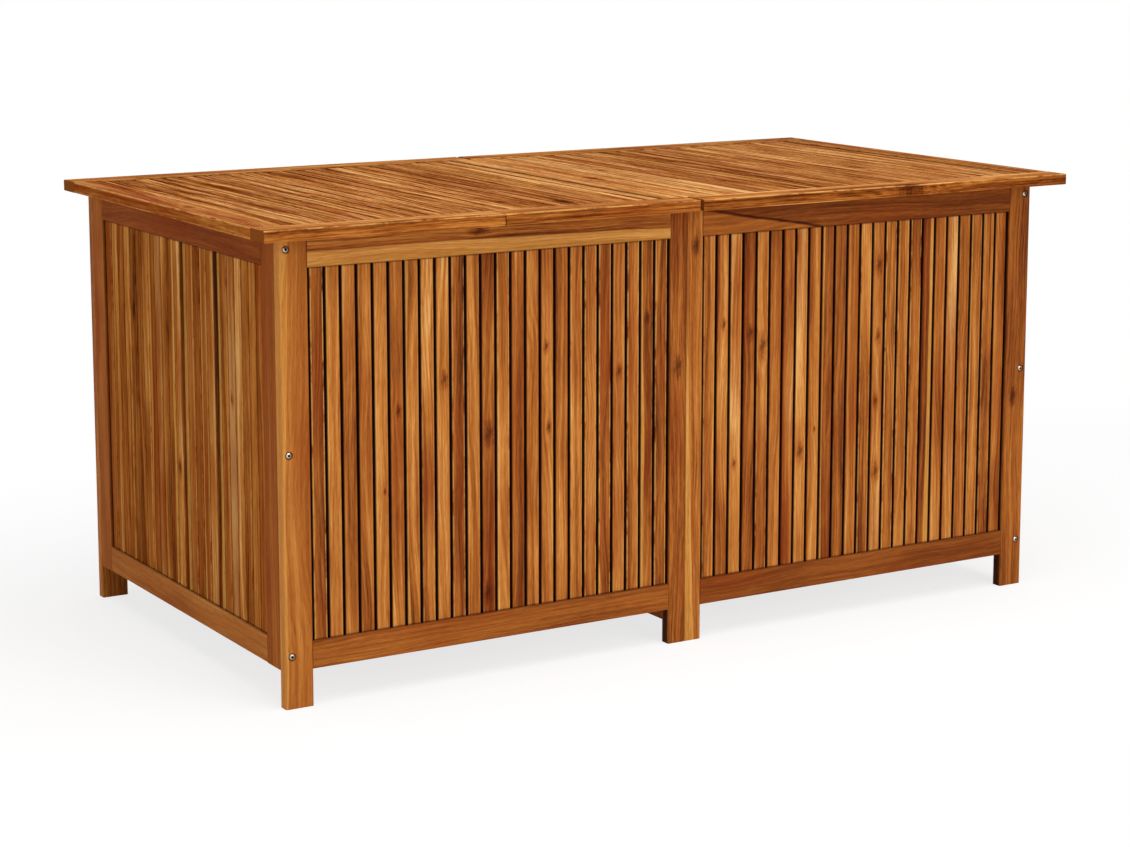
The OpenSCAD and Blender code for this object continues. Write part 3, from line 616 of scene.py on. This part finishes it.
def acacia(
    node_name,
    grain,
    tones,
    width=None,
    knots=(),
    band=None,
    splice=None,
    edge_tone=0,
    contrast=1.0,
    fine=None,
    red=0.0,
    bloom=0.0,
    gloss=None,
    wear=0.0,
    worn_and_highlit_below=True,
    joints=(),
    joint_shade=0.4,
    gap_depth=0.005,
    tucked=0.0,
    seed=0,
):
    """Finishes a node of one board, or of a row of like boards, in oiled acacia.

    grain is the axis along the boards. tones has one value from 0 to 9 for each board of the row.
    edge_tone is how much paler or darker the narrow faces are than the wide ones, in the same steps.
    contrast and fine are the strength of the broad and the fine figure. red is how far the boards, or
    about half of the boards of a row, are redder, and bloom is how far upper faces are paled by a
    painted sheen, standing for the reflection of the sky, and by dried wood. worn_and_highlit_below
    tells whether the lower edges get the paler rubbed colour, which also serves as a painted highlight,
    as well.
    joints are the sides (-1 and 1) that face a neighbour or a gap, joint_shade is how dark the strip of
    painted shade beside them is, and gap_depth is how deep in the gap the sides darken to painted shade.
    tucked is how far the ends of the boards are hidden in the grooves of the rails, where a strip of
    painted shade is laid beside them. seed picks the wood.
    """
    node = frame["nodes"][node_name]
    finish = bpy.context.scene.deck_box_wood
    low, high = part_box(node_name)
    side, depth = board_directions(low, high, grain)
    extent, length = high[side] - low[side], high[grain] - low[grain]
    rows = len(tones)
    board = width if rows > 1 else extent
    pitch = (extent - board) / (rows - 1) if rows > 1 else board
    first = low[side] - (pitch - board) / 2

    material, tree, shader = new_material("acacia_" + node_name)
    place = tree.nodes.new("ShaderNodeTexCoord")
    axes = split(tree, place.outputs["Object"])
    normals = split(tree, place.outputs["Normal"])
    through = minus(tree, axes[depth], (low[depth] + high[depth]) / 2)
    along = minus(tree, axes[grain], low[grain])
    if rows > 1:
        row_place = calc(tree, "DIVIDE", minus(tree, axes[side], first), pitch)
        row = calc(tree, "FLOOR", row_place)
        part = minus(tree, row_place, row)
        across = times(tree, minus(tree, part, 0.5), pitch)
        row_share = calc(tree, "DIVIDE", calc(tree, "ADD", row, 0.5), rows)
        stops = [(i / rows, (tone / PALEST_DIGIT,) * 3) for i, tone in enumerate(tones)]
        tone = palette(tree, row_share, stops, "CONSTANT")
        tone = spread(tree, tone, TONE_START, TONE_START + TONE_SPAN)
        chance = tree.nodes.new("ShaderNodeTexWhiteNoise")
        chance.noise_dimensions = "1D"
        feed(tree, calc(tree, "ADD", row, seed * SEED_GAP + 0.5), chance.inputs["W"])
        shift = vector_calc(tree, "MULTIPLY", chance.outputs["Color"], ROW_SCATTER)
        luck = split(tree, chance.outputs["Color"])
    else:
        across = minus(tree, axes[side], (low[side] + high[side]) / 2)
        tone = TONE_START + TONE_SPAN * tones[0] / PALEST_DIGIT
        shift = tuple(seed * step for step in SEED_SCATTER)
    if edge_tone:
        on_edge = ramp_up(tree, calc(tree, "ABSOLUTE", normals[side]), *FACING)
        tone = calc(tree, "MULTIPLY_ADD", on_edge, TONE_SPAN * edge_tone / PALEST_DIGIT, tone)
    if splice:
        past = minus(tree, along, splice.place * length)
        second = calc(tree, "GREATER_THAN", past, 0.0)
        tone = calc(tree, "MULTIPLY_ADD", second, TONE_SPAN * splice.paler / PALEST_DIGIT, tone)
        cut = ramp_up(tree, calc(tree, "ABSOLUTE", past), LINE_START, 0.0016, 0.35, 0.0)
        tone = minus(tree, tone, cut)
        past_cut = combine(tree, second, second, second)
        shift = vector_calc(tree, "MULTIPLY_ADD", past_cut, SPLICE_SCATTER, shift)

    broad = contrast * finish.contrast
    settings = {
        "Point": combine(tree, across, through, along),
        "Shift": shift,
        "Tone": tone,
        "Half Width": board / 2,
        "Half Thickness": (high[depth] - low[depth]) / 2,
        "Contrast": broad,
        "Fine": broad if fine is None else fine * finish.contrast,
        "Red": red,
        "End": ramp_up(tree, calc(tree, "ABSOLUTE", normals[grain]), *FACING),
        "Gap Depth": gap_depth,
    }
    # Upward faces get a paler cast: partly dried wood, partly a painted sheen standing for the
    # reflection of the sky
    if bloom:
        settings["Fine"] = ramp_up(tree, normals[Z], *UPWARD, broad, settings["Fine"])
        settings["Bloom"] = ramp_up(tree, normals[Z], *UPWARD, 0.0, bloom)
    if red and rows > 1:
        settings["Red"] = calc(tree, "MAXIMUM", spread(tree, luck[1], -red, 3.0 * red), 0.0)

    # Painted shade: dark strips beside the rails, where the ends of the slats go into the grooves, and
    # beside each joint, standing for the shade that falls there
    shaded = 0.0
    if tucked:
        to_rail = minus(tree, length / 2 - tucked, apart(tree, along, length / 2))
        shaded = ramp_up(tree, to_rail, STRIP_START, finish.rail_shade, 0.7, 0.0)
    for joint in joints:
        to_joint = calc(tree, "MULTIPLY_ADD", across, -joint, board / 2)
        strip = ramp_up(tree, to_joint, STRIP_START, finish.joint_width, joint_shade, 0.0)
        shaded = calc(tree, "MAXIMUM", shaded, strip)
    settings["Shade"] = shaded
    # Painted shade on the sides that face a gap or a joint, darker deeper in the gap
    if rows > 1 or len(joints) > 1:
        turned = calc(tree, "ABSOLUTE", normals[side])
    else:
        turned = times(tree, normals[side], sum(joints))
    settings["Gap"] = ramp_up(tree, turned, *SIDEWAYS)

    # Paler rubbed edges, partly real and partly a painted highlight: none on faces that look down, and
    # none on the lower edges where worn_and_highlit_below is off
    if wear:
        rub_and_highlight = wear * finish.wear
        if rows > 1:
            rub_and_highlight = calc(tree, "MAXIMUM", spread(tree, luck[2], -0.3 * rub_and_highlight, 1.3 * rub_and_highlight), 0.0)
        rub_and_highlight = times(tree, rub_and_highlight, ramp_up(tree, normals[Z], -0.5, 0.0))
        if not worn_and_highlit_below:
            rub_and_highlight = times(tree, rub_and_highlight, ramp_up(tree, through, -0.001, 0.001))
        settings["Wear"] = rub_and_highlight

    if band:
        start = (band.start - 0.5) * board
        settings["Band Edge"] = calc(tree, "MULTIPLY_ADD", along, band.lean, start)
        for field in ("side", "sapwood", "paler", "line"):
            settings["Band " + field.title()] = getattr(band, field)
    elif rows > 1:
        band_side = calc(tree, "MULTIPLY_ADD", calc(tree, "ROUND", luck[1]), 2.0, -1.0)
        band_start = spread(tree, luck[0], board * 0.1, board * 1.9)
        settings["Band Edge"] = times(tree, band_start, band_side)
        settings["Band Side"] = band_side

    core, swirl = 0.0, 0.0
    for knot in knots:
        centre = first + (knot.row + 0.5) * pitch + (knot.across - 0.5) * board
        height = low[grain] + knot.along * length
        aside, above = minus(tree, axes[side], centre), minus(tree, axes[grain], height)
        place = {"Aside": aside, "Above": above, "Radius": knot.radius, "Knot": core, "Swirl": swirl}
        core, swirl = use_group(tree, knot_group(), place)
    settings.update({"Knot": core, "Swirl": swirl})

    wood = use_group(tree, acacia_group(), settings)
    connect(
        tree,
        shader,
        {
            "Specular IOR Level": finish.gloss if gloss is None else gloss,
            "Base Color": wood["Color"],
            "Roughness": wood["Roughness"],
            "Normal": relief(tree, wood["Height"], finish.pore_depth, 0.5),
        },
    )
    paint(node, material)


def spread(tree, value, low, high):
    """A value from 0 to 1 spread from low to high."""
    return calc(tree, "MULTIPLY_ADD", value, high - low, low)


def paint(node, material):
    """Gives every material slot of a node one material."""
    for place in node.material_slots:
        place.material = material


def digits(text):
    return [int(letter) for letter in text]


# ---------------------------------------------------------------- operators


class DECKBOX_OT_front_frames(bpy.types.Operator):
    """Finish the stiles and rails of the two front panels"""

    bl_idname = "deckbox.front_frames"
    bl_label = "Front Frames"

    def execute(self, context):
        band = Band(0.1, -1, 0.015, sapwood=0.3, paler=0.12)
        acacia("front_left_outer_stile", Z, [4.7], band=band, contrast=0.45, joints=[1], seed=1)
        knots = [Knot(0, 0.643, 0.5, 0.006)]
        acacia("front_left_inner_stile", Z, [3.2], knots=knots, contrast=0.8, joints=[-1, 1], seed=2)
        look = {"knots": [Knot(0, 0.455, 0.8, 0.006)], "contrast": 0.8, "joints": [-1, 1]}
        band = Band(0.52, -1, -0.008, sapwood=0.5, line=0.35)
        acacia("front_left_top_rail", X, [4.1], band=band, seed=3, **look)
        acacia("front_left_bottom_rail", X, [2.7], contrast=0.5, joints=[1], seed=4)
        knots = [Knot(0, 0.476, 0.4, 0.0055)]
        acacia("front_right_outer_stile", Z, [2.9], knots=knots, contrast=0.7, joints=[-1], seed=5)
        look = {"knots": [Knot(0, 0.915, 0.55, 0.005)], "contrast": 0.7, "joints": [-1, 1]}
        band = Band(0.55, -1, -0.03, sapwood=0.5)
        acacia("front_right_inner_stile", Z, [5], band=band, seed=6, **look)
        band = Band(1.0, -1, -0.2, sapwood=0.0, paler=0.2, line=0.8)
        acacia("front_right_top_rail", X, [1.9], band=band, contrast=0.5, joints=[-1, 1], seed=7)
        acacia("front_right_bottom_rail", X, [2.1], contrast=0.35, joints=[1], seed=8)
        return {"FINISHED"}


class DECKBOX_OT_front_slats(bpy.types.Operator):
    """Finish the upright slats of the two front panels"""

    bl_idname = "deckbox.front_slats"
    bl_label = "Front Slats"

    def execute(self, context):
        body = context.scene.deck_box_body
        left_knots = [
            Knot(5, 0.59, 0.6, 0.0035),
            Knot(8, 0.66, 0.6, 0.005),
            Knot(11, 0.5, 0.5, 0.007),
            Knot(11, 0.07, 0.4, 0.006),
            Knot(15, 0.72, 0.4, 0.004),
            Knot(15, 0.5, 0.6, 0.004),
            Knot(20, 0.63, 0.5, 0.005),
            Knot(22, 0.77, 0.5, 0.0035),
            Knot(4, 0.38, 0.7, 0.002),
        ]
        right_knots = [
            Knot(1, 0.73, 0.6, 0.004),
            Knot(2, 0.33, 0.4, 0.004),
            Knot(3, 0.7, 0.6, 0.005),
            Knot(4, 0.66, 0.5, 0.008),
            Knot(7, 0.34, 0.5, 0.006),
            Knot(8, 0.4, 0.6, 0.0022),
            Knot(13, 0.86, 0.5, 0.006),
            Knot(13, 0.65, 0.5, 0.005),
            Knot(13, 0.46, 0.4, 0.004),
            Knot(13, 0.25, 0.5, 0.006),
        ]
        look = {"contrast": 1.3, "fine": 0.65, "red": 0.05, "gloss": 0.03, "wear": 1.0}
        look.update(tucked=body.tucked, joints=[-1, 1], joint_shade=0.5, gap_depth=0.001)
        for seed, side, knots in ((11, "left", left_knots), (12, "right", right_knots)):
            row = digits(getattr(body, "front_" + side))
            acacia(f"front_{side}_slats", Z, row, body.slat_width, knots, seed=seed, **look)
        return {"FINISHED"}


class DECKBOX_OT_back_panels(bpy.types.Operator):
    """Finish the two back panels"""

    bl_idname = "deckbox.back_panels"
    bl_label = "Back Panels"

    def execute(self, context):
        body = context.scene.deck_box_body
        tones = {"outer_stile": 4, "inner_stile": 5, "top_rail": 3, "bottom_rail": 4}
        for seed, side in enumerate(("left", "right"), 21):
            for step, (board, tone) in enumerate(tones.items()):
                grain = Z if board.endswith("stile") else X
                knots = [Knot(0, 0.3 + 0.12 * step, 0.45, 0.006)] if (seed + step) % 2 else []
                inward = 1 if side == "left" else -1
                joints = {"outer_stile": [inward], "bottom_rail": [1]}.get(board, [-1, 1])
                look = {"contrast": 0.7, "joints": joints}
                acacia(f"back_{side}_{board}", grain, [tone], knots=knots, seed=seed + 7 * step, **look)
            knots = [Knot(3, 0.7, 0.5, 0.006), Knot(9, 0.25, 0.4, 0.005)]
            knots += [Knot(14, 0.55, 0.6, 0.007), Knot(21, 0.8, 0.5, 0.005)]
            row = digits(getattr(body, "back_" + side))
            look = {"contrast": 1.3, "fine": 0.75, "wear": 1.0, "tucked": body.tucked}
            look.update(joints=[-1, 1], joint_shade=0.5, gap_depth=0.001)
            acacia(f"back_{side}_slats", Z, row, body.slat_width, knots, seed=seed + 50, **look)
        return {"FINISHED"}


class DECKBOX_OT_end_panels(bpy.types.Operator):
    """Finish the two end panels"""

    bl_idname = "deckbox.end_panels"
    bl_label = "End Panels"

    def execute(self, context):
        body = context.scene.deck_box_body
        tones = {"front_stile": 3.8, "back_stile": 5.0, "top_rail": 2.6, "bottom_rail": 6.4}
        for seed, side in enumerate(("left", "right"), 31):
            for step, (board, tone) in enumerate(tones.items()):
                grain = Z if board.endswith("stile") else Y
                joints = {"front_stile": [1], "back_stile": [-1], "bottom_rail": [1]}.get(board, [-1, 1])
                look = {"contrast": 0.45, "gloss": 0.01, "joints": joints, "red": 0.25}
                acacia(f"{side}_end_{board}", grain, [tone], seed=seed + 9 * step, **look)
            knots = [Knot(4, 0.6, 0.5, 0.005), Knot(12, 0.35, 0.5, 0.006), Knot(19, 0.75, 0.4, 0.005)]
            row = digits(getattr(body, side + "_end"))
            look = {"contrast": 1.2, "fine": 0.75, "red": 0.17, "gloss": 0.0, "wear": 0.5}
            look.update(tucked=body.tucked, joint_shade=0.3, gap_depth=0.006)
            acacia(f"{side}_end_slats", Z, row, body.slat_width, knots, seed=seed + 60, **look)
        return {"FINISHED"}


class DECKBOX_OT_lid_frames(bpy.types.Operator):
    """Finish the rails and stiles of the two lids"""

    bl_idname = "deckbox.lid_frames"
    bl_label = "Lid Frames"

    def execute(self, context):
        wood = context.scene.deck_box_wood
        look = {"fine": 1.5, "bloom": wood.lid_bloom_and_sheen, "gloss": wood.lid_gloss, "wear": 0.8}
        look["joint_shade"] = 0.45
        upper = {"worn_and_highlit_below": False, **look}
        splice = Splice(0.53, -0.5)
        acacia("left_lid_front_rail", X, [5.2], splice=splice, edge_tone=-2.3, seed=41, **upper)
        acacia("left_lid_back_rail", X, [5], joints=[-1], seed=42, **upper)
        knots = [Knot(0, 0.4, 0.5, 0.006)]
        acacia("left_lid_outer_stile", Y, [4.4], knots=knots, joints=[1], red=0.3, seed=43, **look)
        acacia("left_lid_inner_stile", Y, [6], joints=[-1], seed=44, **upper)
        knots = [Knot(0, 0.55, 0.1, 0.009)]
        acacia("right_lid_front_rail", X, [5.6], knots=knots, edge_tone=-3.8, seed=45, **upper)
        acacia("right_lid_back_rail", X, [4], joints=[-1], seed=46, **upper)
        acacia("right_lid_outer_stile", Y, [4], joints=[-1], seed=47, **upper)
        knots = [Knot(0, 0.44, 0.5, 0.009)]
        acacia("right_lid_inner_stile", Y, [6], knots=knots, joints=[1], seed=48, **upper)
        return {"FINISHED"}


class DECKBOX_OT_lid_slats(bpy.types.Operator):
    """Finish the slats of the two lids"""

    bl_idname = "deckbox.lid_slats"
    bl_label = "Lid Slats"

    def execute(self, context):
        lids = context.scene.deck_box_lids
        left_knots = [Knot(18, 0.1, 0.5, 0.008), Knot(15, 0.16, 0.5, 0.005), Knot(7, 0.45, 0.4, 0.004)]
        right_knots = [Knot(2, 0.6, 0.5, 0.006), Knot(17, 0.35, 0.5, 0.008), Knot(9, 0.7, 0.5, 0.004)]
        wood = context.scene.deck_box_wood
        tucked = context.scene.deck_box_body.tucked
        look = {"fine": 1.7, "red": 0.05, "bloom": wood.lid_bloom_and_sheen, "gloss": wood.lid_gloss}
        look.update(tucked=tucked, joints=[-1, 1], joint_shade=0.4, gap_depth=0.0025)
        for seed, side, knots in ((51, "left", left_knots), (52, "right", right_knots)):
            row = digits(getattr(lids, side + "_lid"))
            acacia(f"{side}_lid_slats", Y, row, lids.slat_width, knots, seed=seed, **look)
        return {"FINISHED"}


class DECKBOX_OT_lid_battens(bpy.types.Operator):
    """Finish the battens under the lids"""

    bl_idname = "deckbox.lid_battens"
    bl_label = "Lid Battens"

    def execute(self, context):
        lids = context.scene.deck_box_lids
        acacia("left_lid_battens", X, [4, 3], lids.batten_width, seed=61)
        acacia("right_lid_battens", X, [3, 5], lids.batten_width, seed=62)
        return {"FINISHED"}


class DECKBOX_OT_floor(bpy.types.Operator):
    """Finish the floor slats, their cleats and the centre beam"""

    bl_idname = "deckbox.floor"
    bl_label = "Floor"

    def execute(self, context):
        floor = context.scene.deck_box_floor
        acacia("centre_beam", Y, [3], seed=71)
        acacia("floor_cleats", Y, [3, 4], floor.cleat_width, seed=72)
        left_knots = [Knot(2, 0.3, 0.5, 0.01), Knot(7, 0.6, 0.4, 0.008)]
        right_knots = [Knot(4, 0.5, 0.5, 0.009), Knot(8, 0.2, 0.6, 0.008)]
        acacia("left_floor_slats", X, digits(floor.left_floor), floor.slat_width, left_knots, seed=73)
        acacia("right_floor_slats", X, digits(floor.right_floor), floor.slat_width, right_knots, seed=74)
        return {"FINISHED"}


class DECKBOX_OT_fittings(bpy.types.Operator):
    """Finish the hinges, plates, brackets, bolts and screws in zinc-plated steel"""

    bl_idname = "deckbox.fittings"
    bl_label = "Fittings"

    def execute(self, context):
        settings = context.scene.deck_box_fittings
        plain = self.steel("zinc_plated_steel", settings)
        bolts = self.steel("zinc_plated_bolts", settings, with_sockets=True)
        for part in frame["record"]["subparts"]:
            if part["material_slot"] == "steel":
                paint(frame["nodes"][part["node"]], bolts if part["node"] == "corner_bolts" else plain)
        return {"FINISHED"}

    def steel(self, name, settings, with_sockets=False):
        material, tree, shader = new_material(name)
        place = tree.nodes.new("ShaderNodeTexCoord").outputs["Object"]
        brushed = vector_calc(tree, "MULTIPLY", place, (1.0, 1.0, 0.05))
        marks = noise(tree, brushed, 1 / settings.grain, 3.0, 0.6)
        cloud = noise(tree, place, 90.0, 3.0, 0.6)
        spangle = tree.nodes.new("ShaderNodeTexVoronoi")
        connect(tree, spangle, {"Vector": place, "Scale": 900})
        flake = split(tree, spangle.outputs["Color"])[0]
        share = total(tree, cloud, centred(tree, marks, 0.6), centred(tree, flake, 0.25))
        share = ramp_up(tree, share, 0.3, 0.75)
        colour = mix(tree, share, opaque(settings.steel), opaque(settings.dull_steel))
        rough = total(tree, settings.roughness, centred(tree, marks, 0.3), centred(tree, cloud, 0.25))
        if with_sockets:
            # Painted shade in the hexagon sockets: darker and rougher
            socket_shaded = self.in_socket(tree, place, settings)
            colour = mix(tree, socket_shaded, colour, opaque(settings.socket_shade))
            rough = calc(tree, "MAXIMUM", rough, socket_shaded)
        normal = relief(tree, marks, settings.mark_depth, 0.3)
        look = {"Metallic": 1, "Base Color": colour, "Roughness": rough, "Normal": normal}
        connect(tree, shader, look)
        return material

    def in_socket(self, tree, place, settings):
        """One in the hexagon sockets of the bolts, and nothing elsewhere."""
        low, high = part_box("corner_bolts")
        head = settings.bolt_head / 2
        x, _, z = split(tree, place)
        aside = minus(tree, calc(tree, "ABSOLUTE", x), high[X] - head)
        heights = (low[Z] + head, (low[Z] + high[Z]) / 2, high[Z] - head)
        above = [apart(tree, z, height) for height in heights]
        nearest = calc(tree, "MINIMUM", calc(tree, "MINIMUM", above[0], above[1]), above[2])
        reach = vector_calc(tree, "LENGTH", combine(tree, aside, nearest, 0.0))
        return ramp_up(tree, reach, settings.socket * 0.5, settings.socket * 0.6, 1.0, 0.0)


class DECKBOX_OT_studio(bpy.types.Operator):
    """Set the pale floor, the soft lamps, the surround and the camera"""

    bl_idname = "deckbox.studio"
    bl_label = "Studio"

    def execute(self, context):
        studio = context.scene.deck_box_studio
        self.floor(studio)
        self.surround(context.scene, studio)
        self.lamp("overhead_lamp", studio.overhead, size=4.0, place=(0.0, -0.9, 3.4), aim_height=0.5)
        self.lamp("front_lamp", studio.front, size=3.6, place=(1.1, -4.6, 1.9), aim_height=0.4)
        self.lamp("left_lamp", studio.left, size=2.6, place=(-4.2, -0.8, 1.6), aim_height=0.4)
        self.camera(context.scene, studio)
        context.scene.view_settings.view_transform = "Standard"
        return {"FINISHED"}

    def floor(self, studio):
        bpy.ops.mesh.primitive_circle_add(vertices=96, radius=studio.floor_radius, fill_type="NGON")
        floor = bpy.context.object
        floor.name = "studio_floor"
        material, tree, shader = new_material("pale_floor")
        place = tree.nodes.new("ShaderNodeTexCoord").outputs["Object"]
        matt = {"Base Color": opaque(studio.floor), "Roughness": 0.9, "Specular IOR Level": 0.2}
        connect(tree, shader, matt)
        # Painted light: a glow of the backdrop colour mixed into the floor for camera, gloss and glass
        # rays, which pales the floor and lightens the shadow of the box on it, but not under the box
        glow = tree.nodes.new("ShaderNodeEmission")
        feed(tree, opaque(studio.backdrop), glow.inputs["Color"])
        size = cad_high - cad_low
        squeezed = vector_calc(tree, "MULTIPLY", place, (size.y / size.x, 1.0, 1.0))
        radius = vector_calc(tree, "LENGTH", squeezed)
        fade = ramp_up(tree, radius, studio.fade_from, studio.fade_to, studio.floor_glow, 1.0)
        fade = times(tree, fade, self.open_floor(tree, place, studio))
        blend = tree.nodes.new("ShaderNodeMixShader")
        share = times(tree, self.seen(tree), fade)
        fill(tree, blend, (share, shader.outputs[0], glow.outputs[0]))
        output = next(node for node in tree.nodes if node.type == "OUTPUT_MATERIAL")
        tree.links.new(blend.outputs[0], output.inputs["Surface"])
        floor.data.materials.append(material)

    def open_floor(self, tree, place, studio):
        """One all round the box, where the floor takes its painted glow, and nothing on the floor hidden
        under the box.
        """
        beyond = []
        for value, middle, reach in zip(split(tree, place), studio.hidden_middle, studio.hidden_reach):
            beyond.append(minus(tree, apart(tree, value, middle), reach))
        return ramp_up(tree, calc(tree, "MAXIMUM", *beyond), -studio.hidden_blur, studio.hidden_blur)

    def seen(self, tree):
        """One for rays that show the backdrop: those of the camera, of gloss and of glass."""
        path = tree.nodes.new("ShaderNodeLightPath").outputs
        glossy = calc(tree, "MAXIMUM", path["Is Camera Ray"], path["Is Glossy Ray"])
        return calc(tree, "MAXIMUM", glossy, path["Is Transmission Ray"])

    def surround(self, scene, studio):
        world = bpy.data.worlds.new("pale_surround")
        scene.world = world
        world.use_nodes = True
        tree = world.node_tree
        tree.nodes.clear()
        background = tree.nodes.new("ShaderNodeBackground")
        strength = spread(tree, self.seen(tree), studio.surround, 1.0)
        connect(tree, background, {"Color": opaque(studio.backdrop), "Strength": strength})
        output = tree.nodes.new("ShaderNodeOutputWorld")
        tree.links.new(background.outputs[0], output.inputs["Surface"])

    def lamp(self, name, power, size, place, aim_height):
        """A round lamp aimed at a point above the middle of the floor."""
        data = bpy.data.lights.new(name, "AREA")
        data.shape = "DISK"
        data.size = size
        data.energy = power
        lamp = bpy.data.objects.new(name, data)
        bpy.context.scene.collection.objects.link(lamp)
        lamp.location = place
        target = mathutils.Vector((0.0, 0.0, aim_height))
        lamp.rotation_euler = (lamp.location - target).to_track_quat("Z", "Y").to_euler()

    def camera(self, scene, studio):
        data = bpy.data.cameras.new("studio_camera")
        data.lens = studio.lens
        data.shift_y = studio.rise
        data.clip_end = 2 * studio.floor_radius
        camera = bpy.data.objects.new("studio_camera", data)
        scene.collection.objects.link(camera)
        camera.location = studio.camera_place
        camera.rotation_euler = (math.pi / 2 - studio.camera_dip, 0, -studio.camera_turn)
        scene.camera = camera


class DECKBOX_PT_panel(bpy.types.Panel):
    """Sidebar panel with the finishes of the deck box"""

    bl_idname = "DECKBOX_PT_panel"
    bl_label = "Deck Box"
    bl_space_type = "VIEW_3D"
    bl_region_type = "UI"
    bl_category = "Deck Box"

    def draw(self, context):
        for operator in OPERATORS:
            self.layout.operator(operator.bl_idname)
        for name, settings in SETTINGS.items():
            column = self.layout.column()
            for key in settings.__annotations__:
                column.prop(getattr(context.scene, name), key)


SETTINGS = {
    "deck_box_wood": DeckBoxWood,
    "deck_box_body": DeckBoxBody,
    "deck_box_lids": DeckBoxLids,
    "deck_box_floor": DeckBoxFloor,
    "deck_box_fittings": DeckBoxFittings,
    "deck_box_studio": DeckBoxStudio,
}
OPERATORS = (
    DECKBOX_OT_front_frames,
    DECKBOX_OT_front_slats,
    DECKBOX_OT_back_panels,
    DECKBOX_OT_end_panels,
    DECKBOX_OT_lid_frames,
    DECKBOX_OT_lid_slats,
    DECKBOX_OT_lid_battens,
    DECKBOX_OT_floor,
    DECKBOX_OT_fittings,
    DECKBOX_OT_studio,
)


def register():
    for kind in (*SETTINGS.values(), *OPERATORS, DECKBOX_PT_panel):
        bpy.utils.register_class(kind)
    for name, settings in SETTINGS.items():
        setattr(bpy.types.Scene, name, bpy.props.PointerProperty(type=settings))


def unregister():
    for name in SETTINGS:
        delattr(bpy.types.Scene, name)
    for kind in reversed((*SETTINGS.values(), *OPERATORS, DECKBOX_PT_panel)):
        bpy.utils.unregister_class(kind)


def main():
    register()
    for operator in OPERATORS:
        group, name = operator.bl_idname.split(".")
        getattr(getattr(bpy.ops, group), name)()


if __name__ == "__main__":
    main()
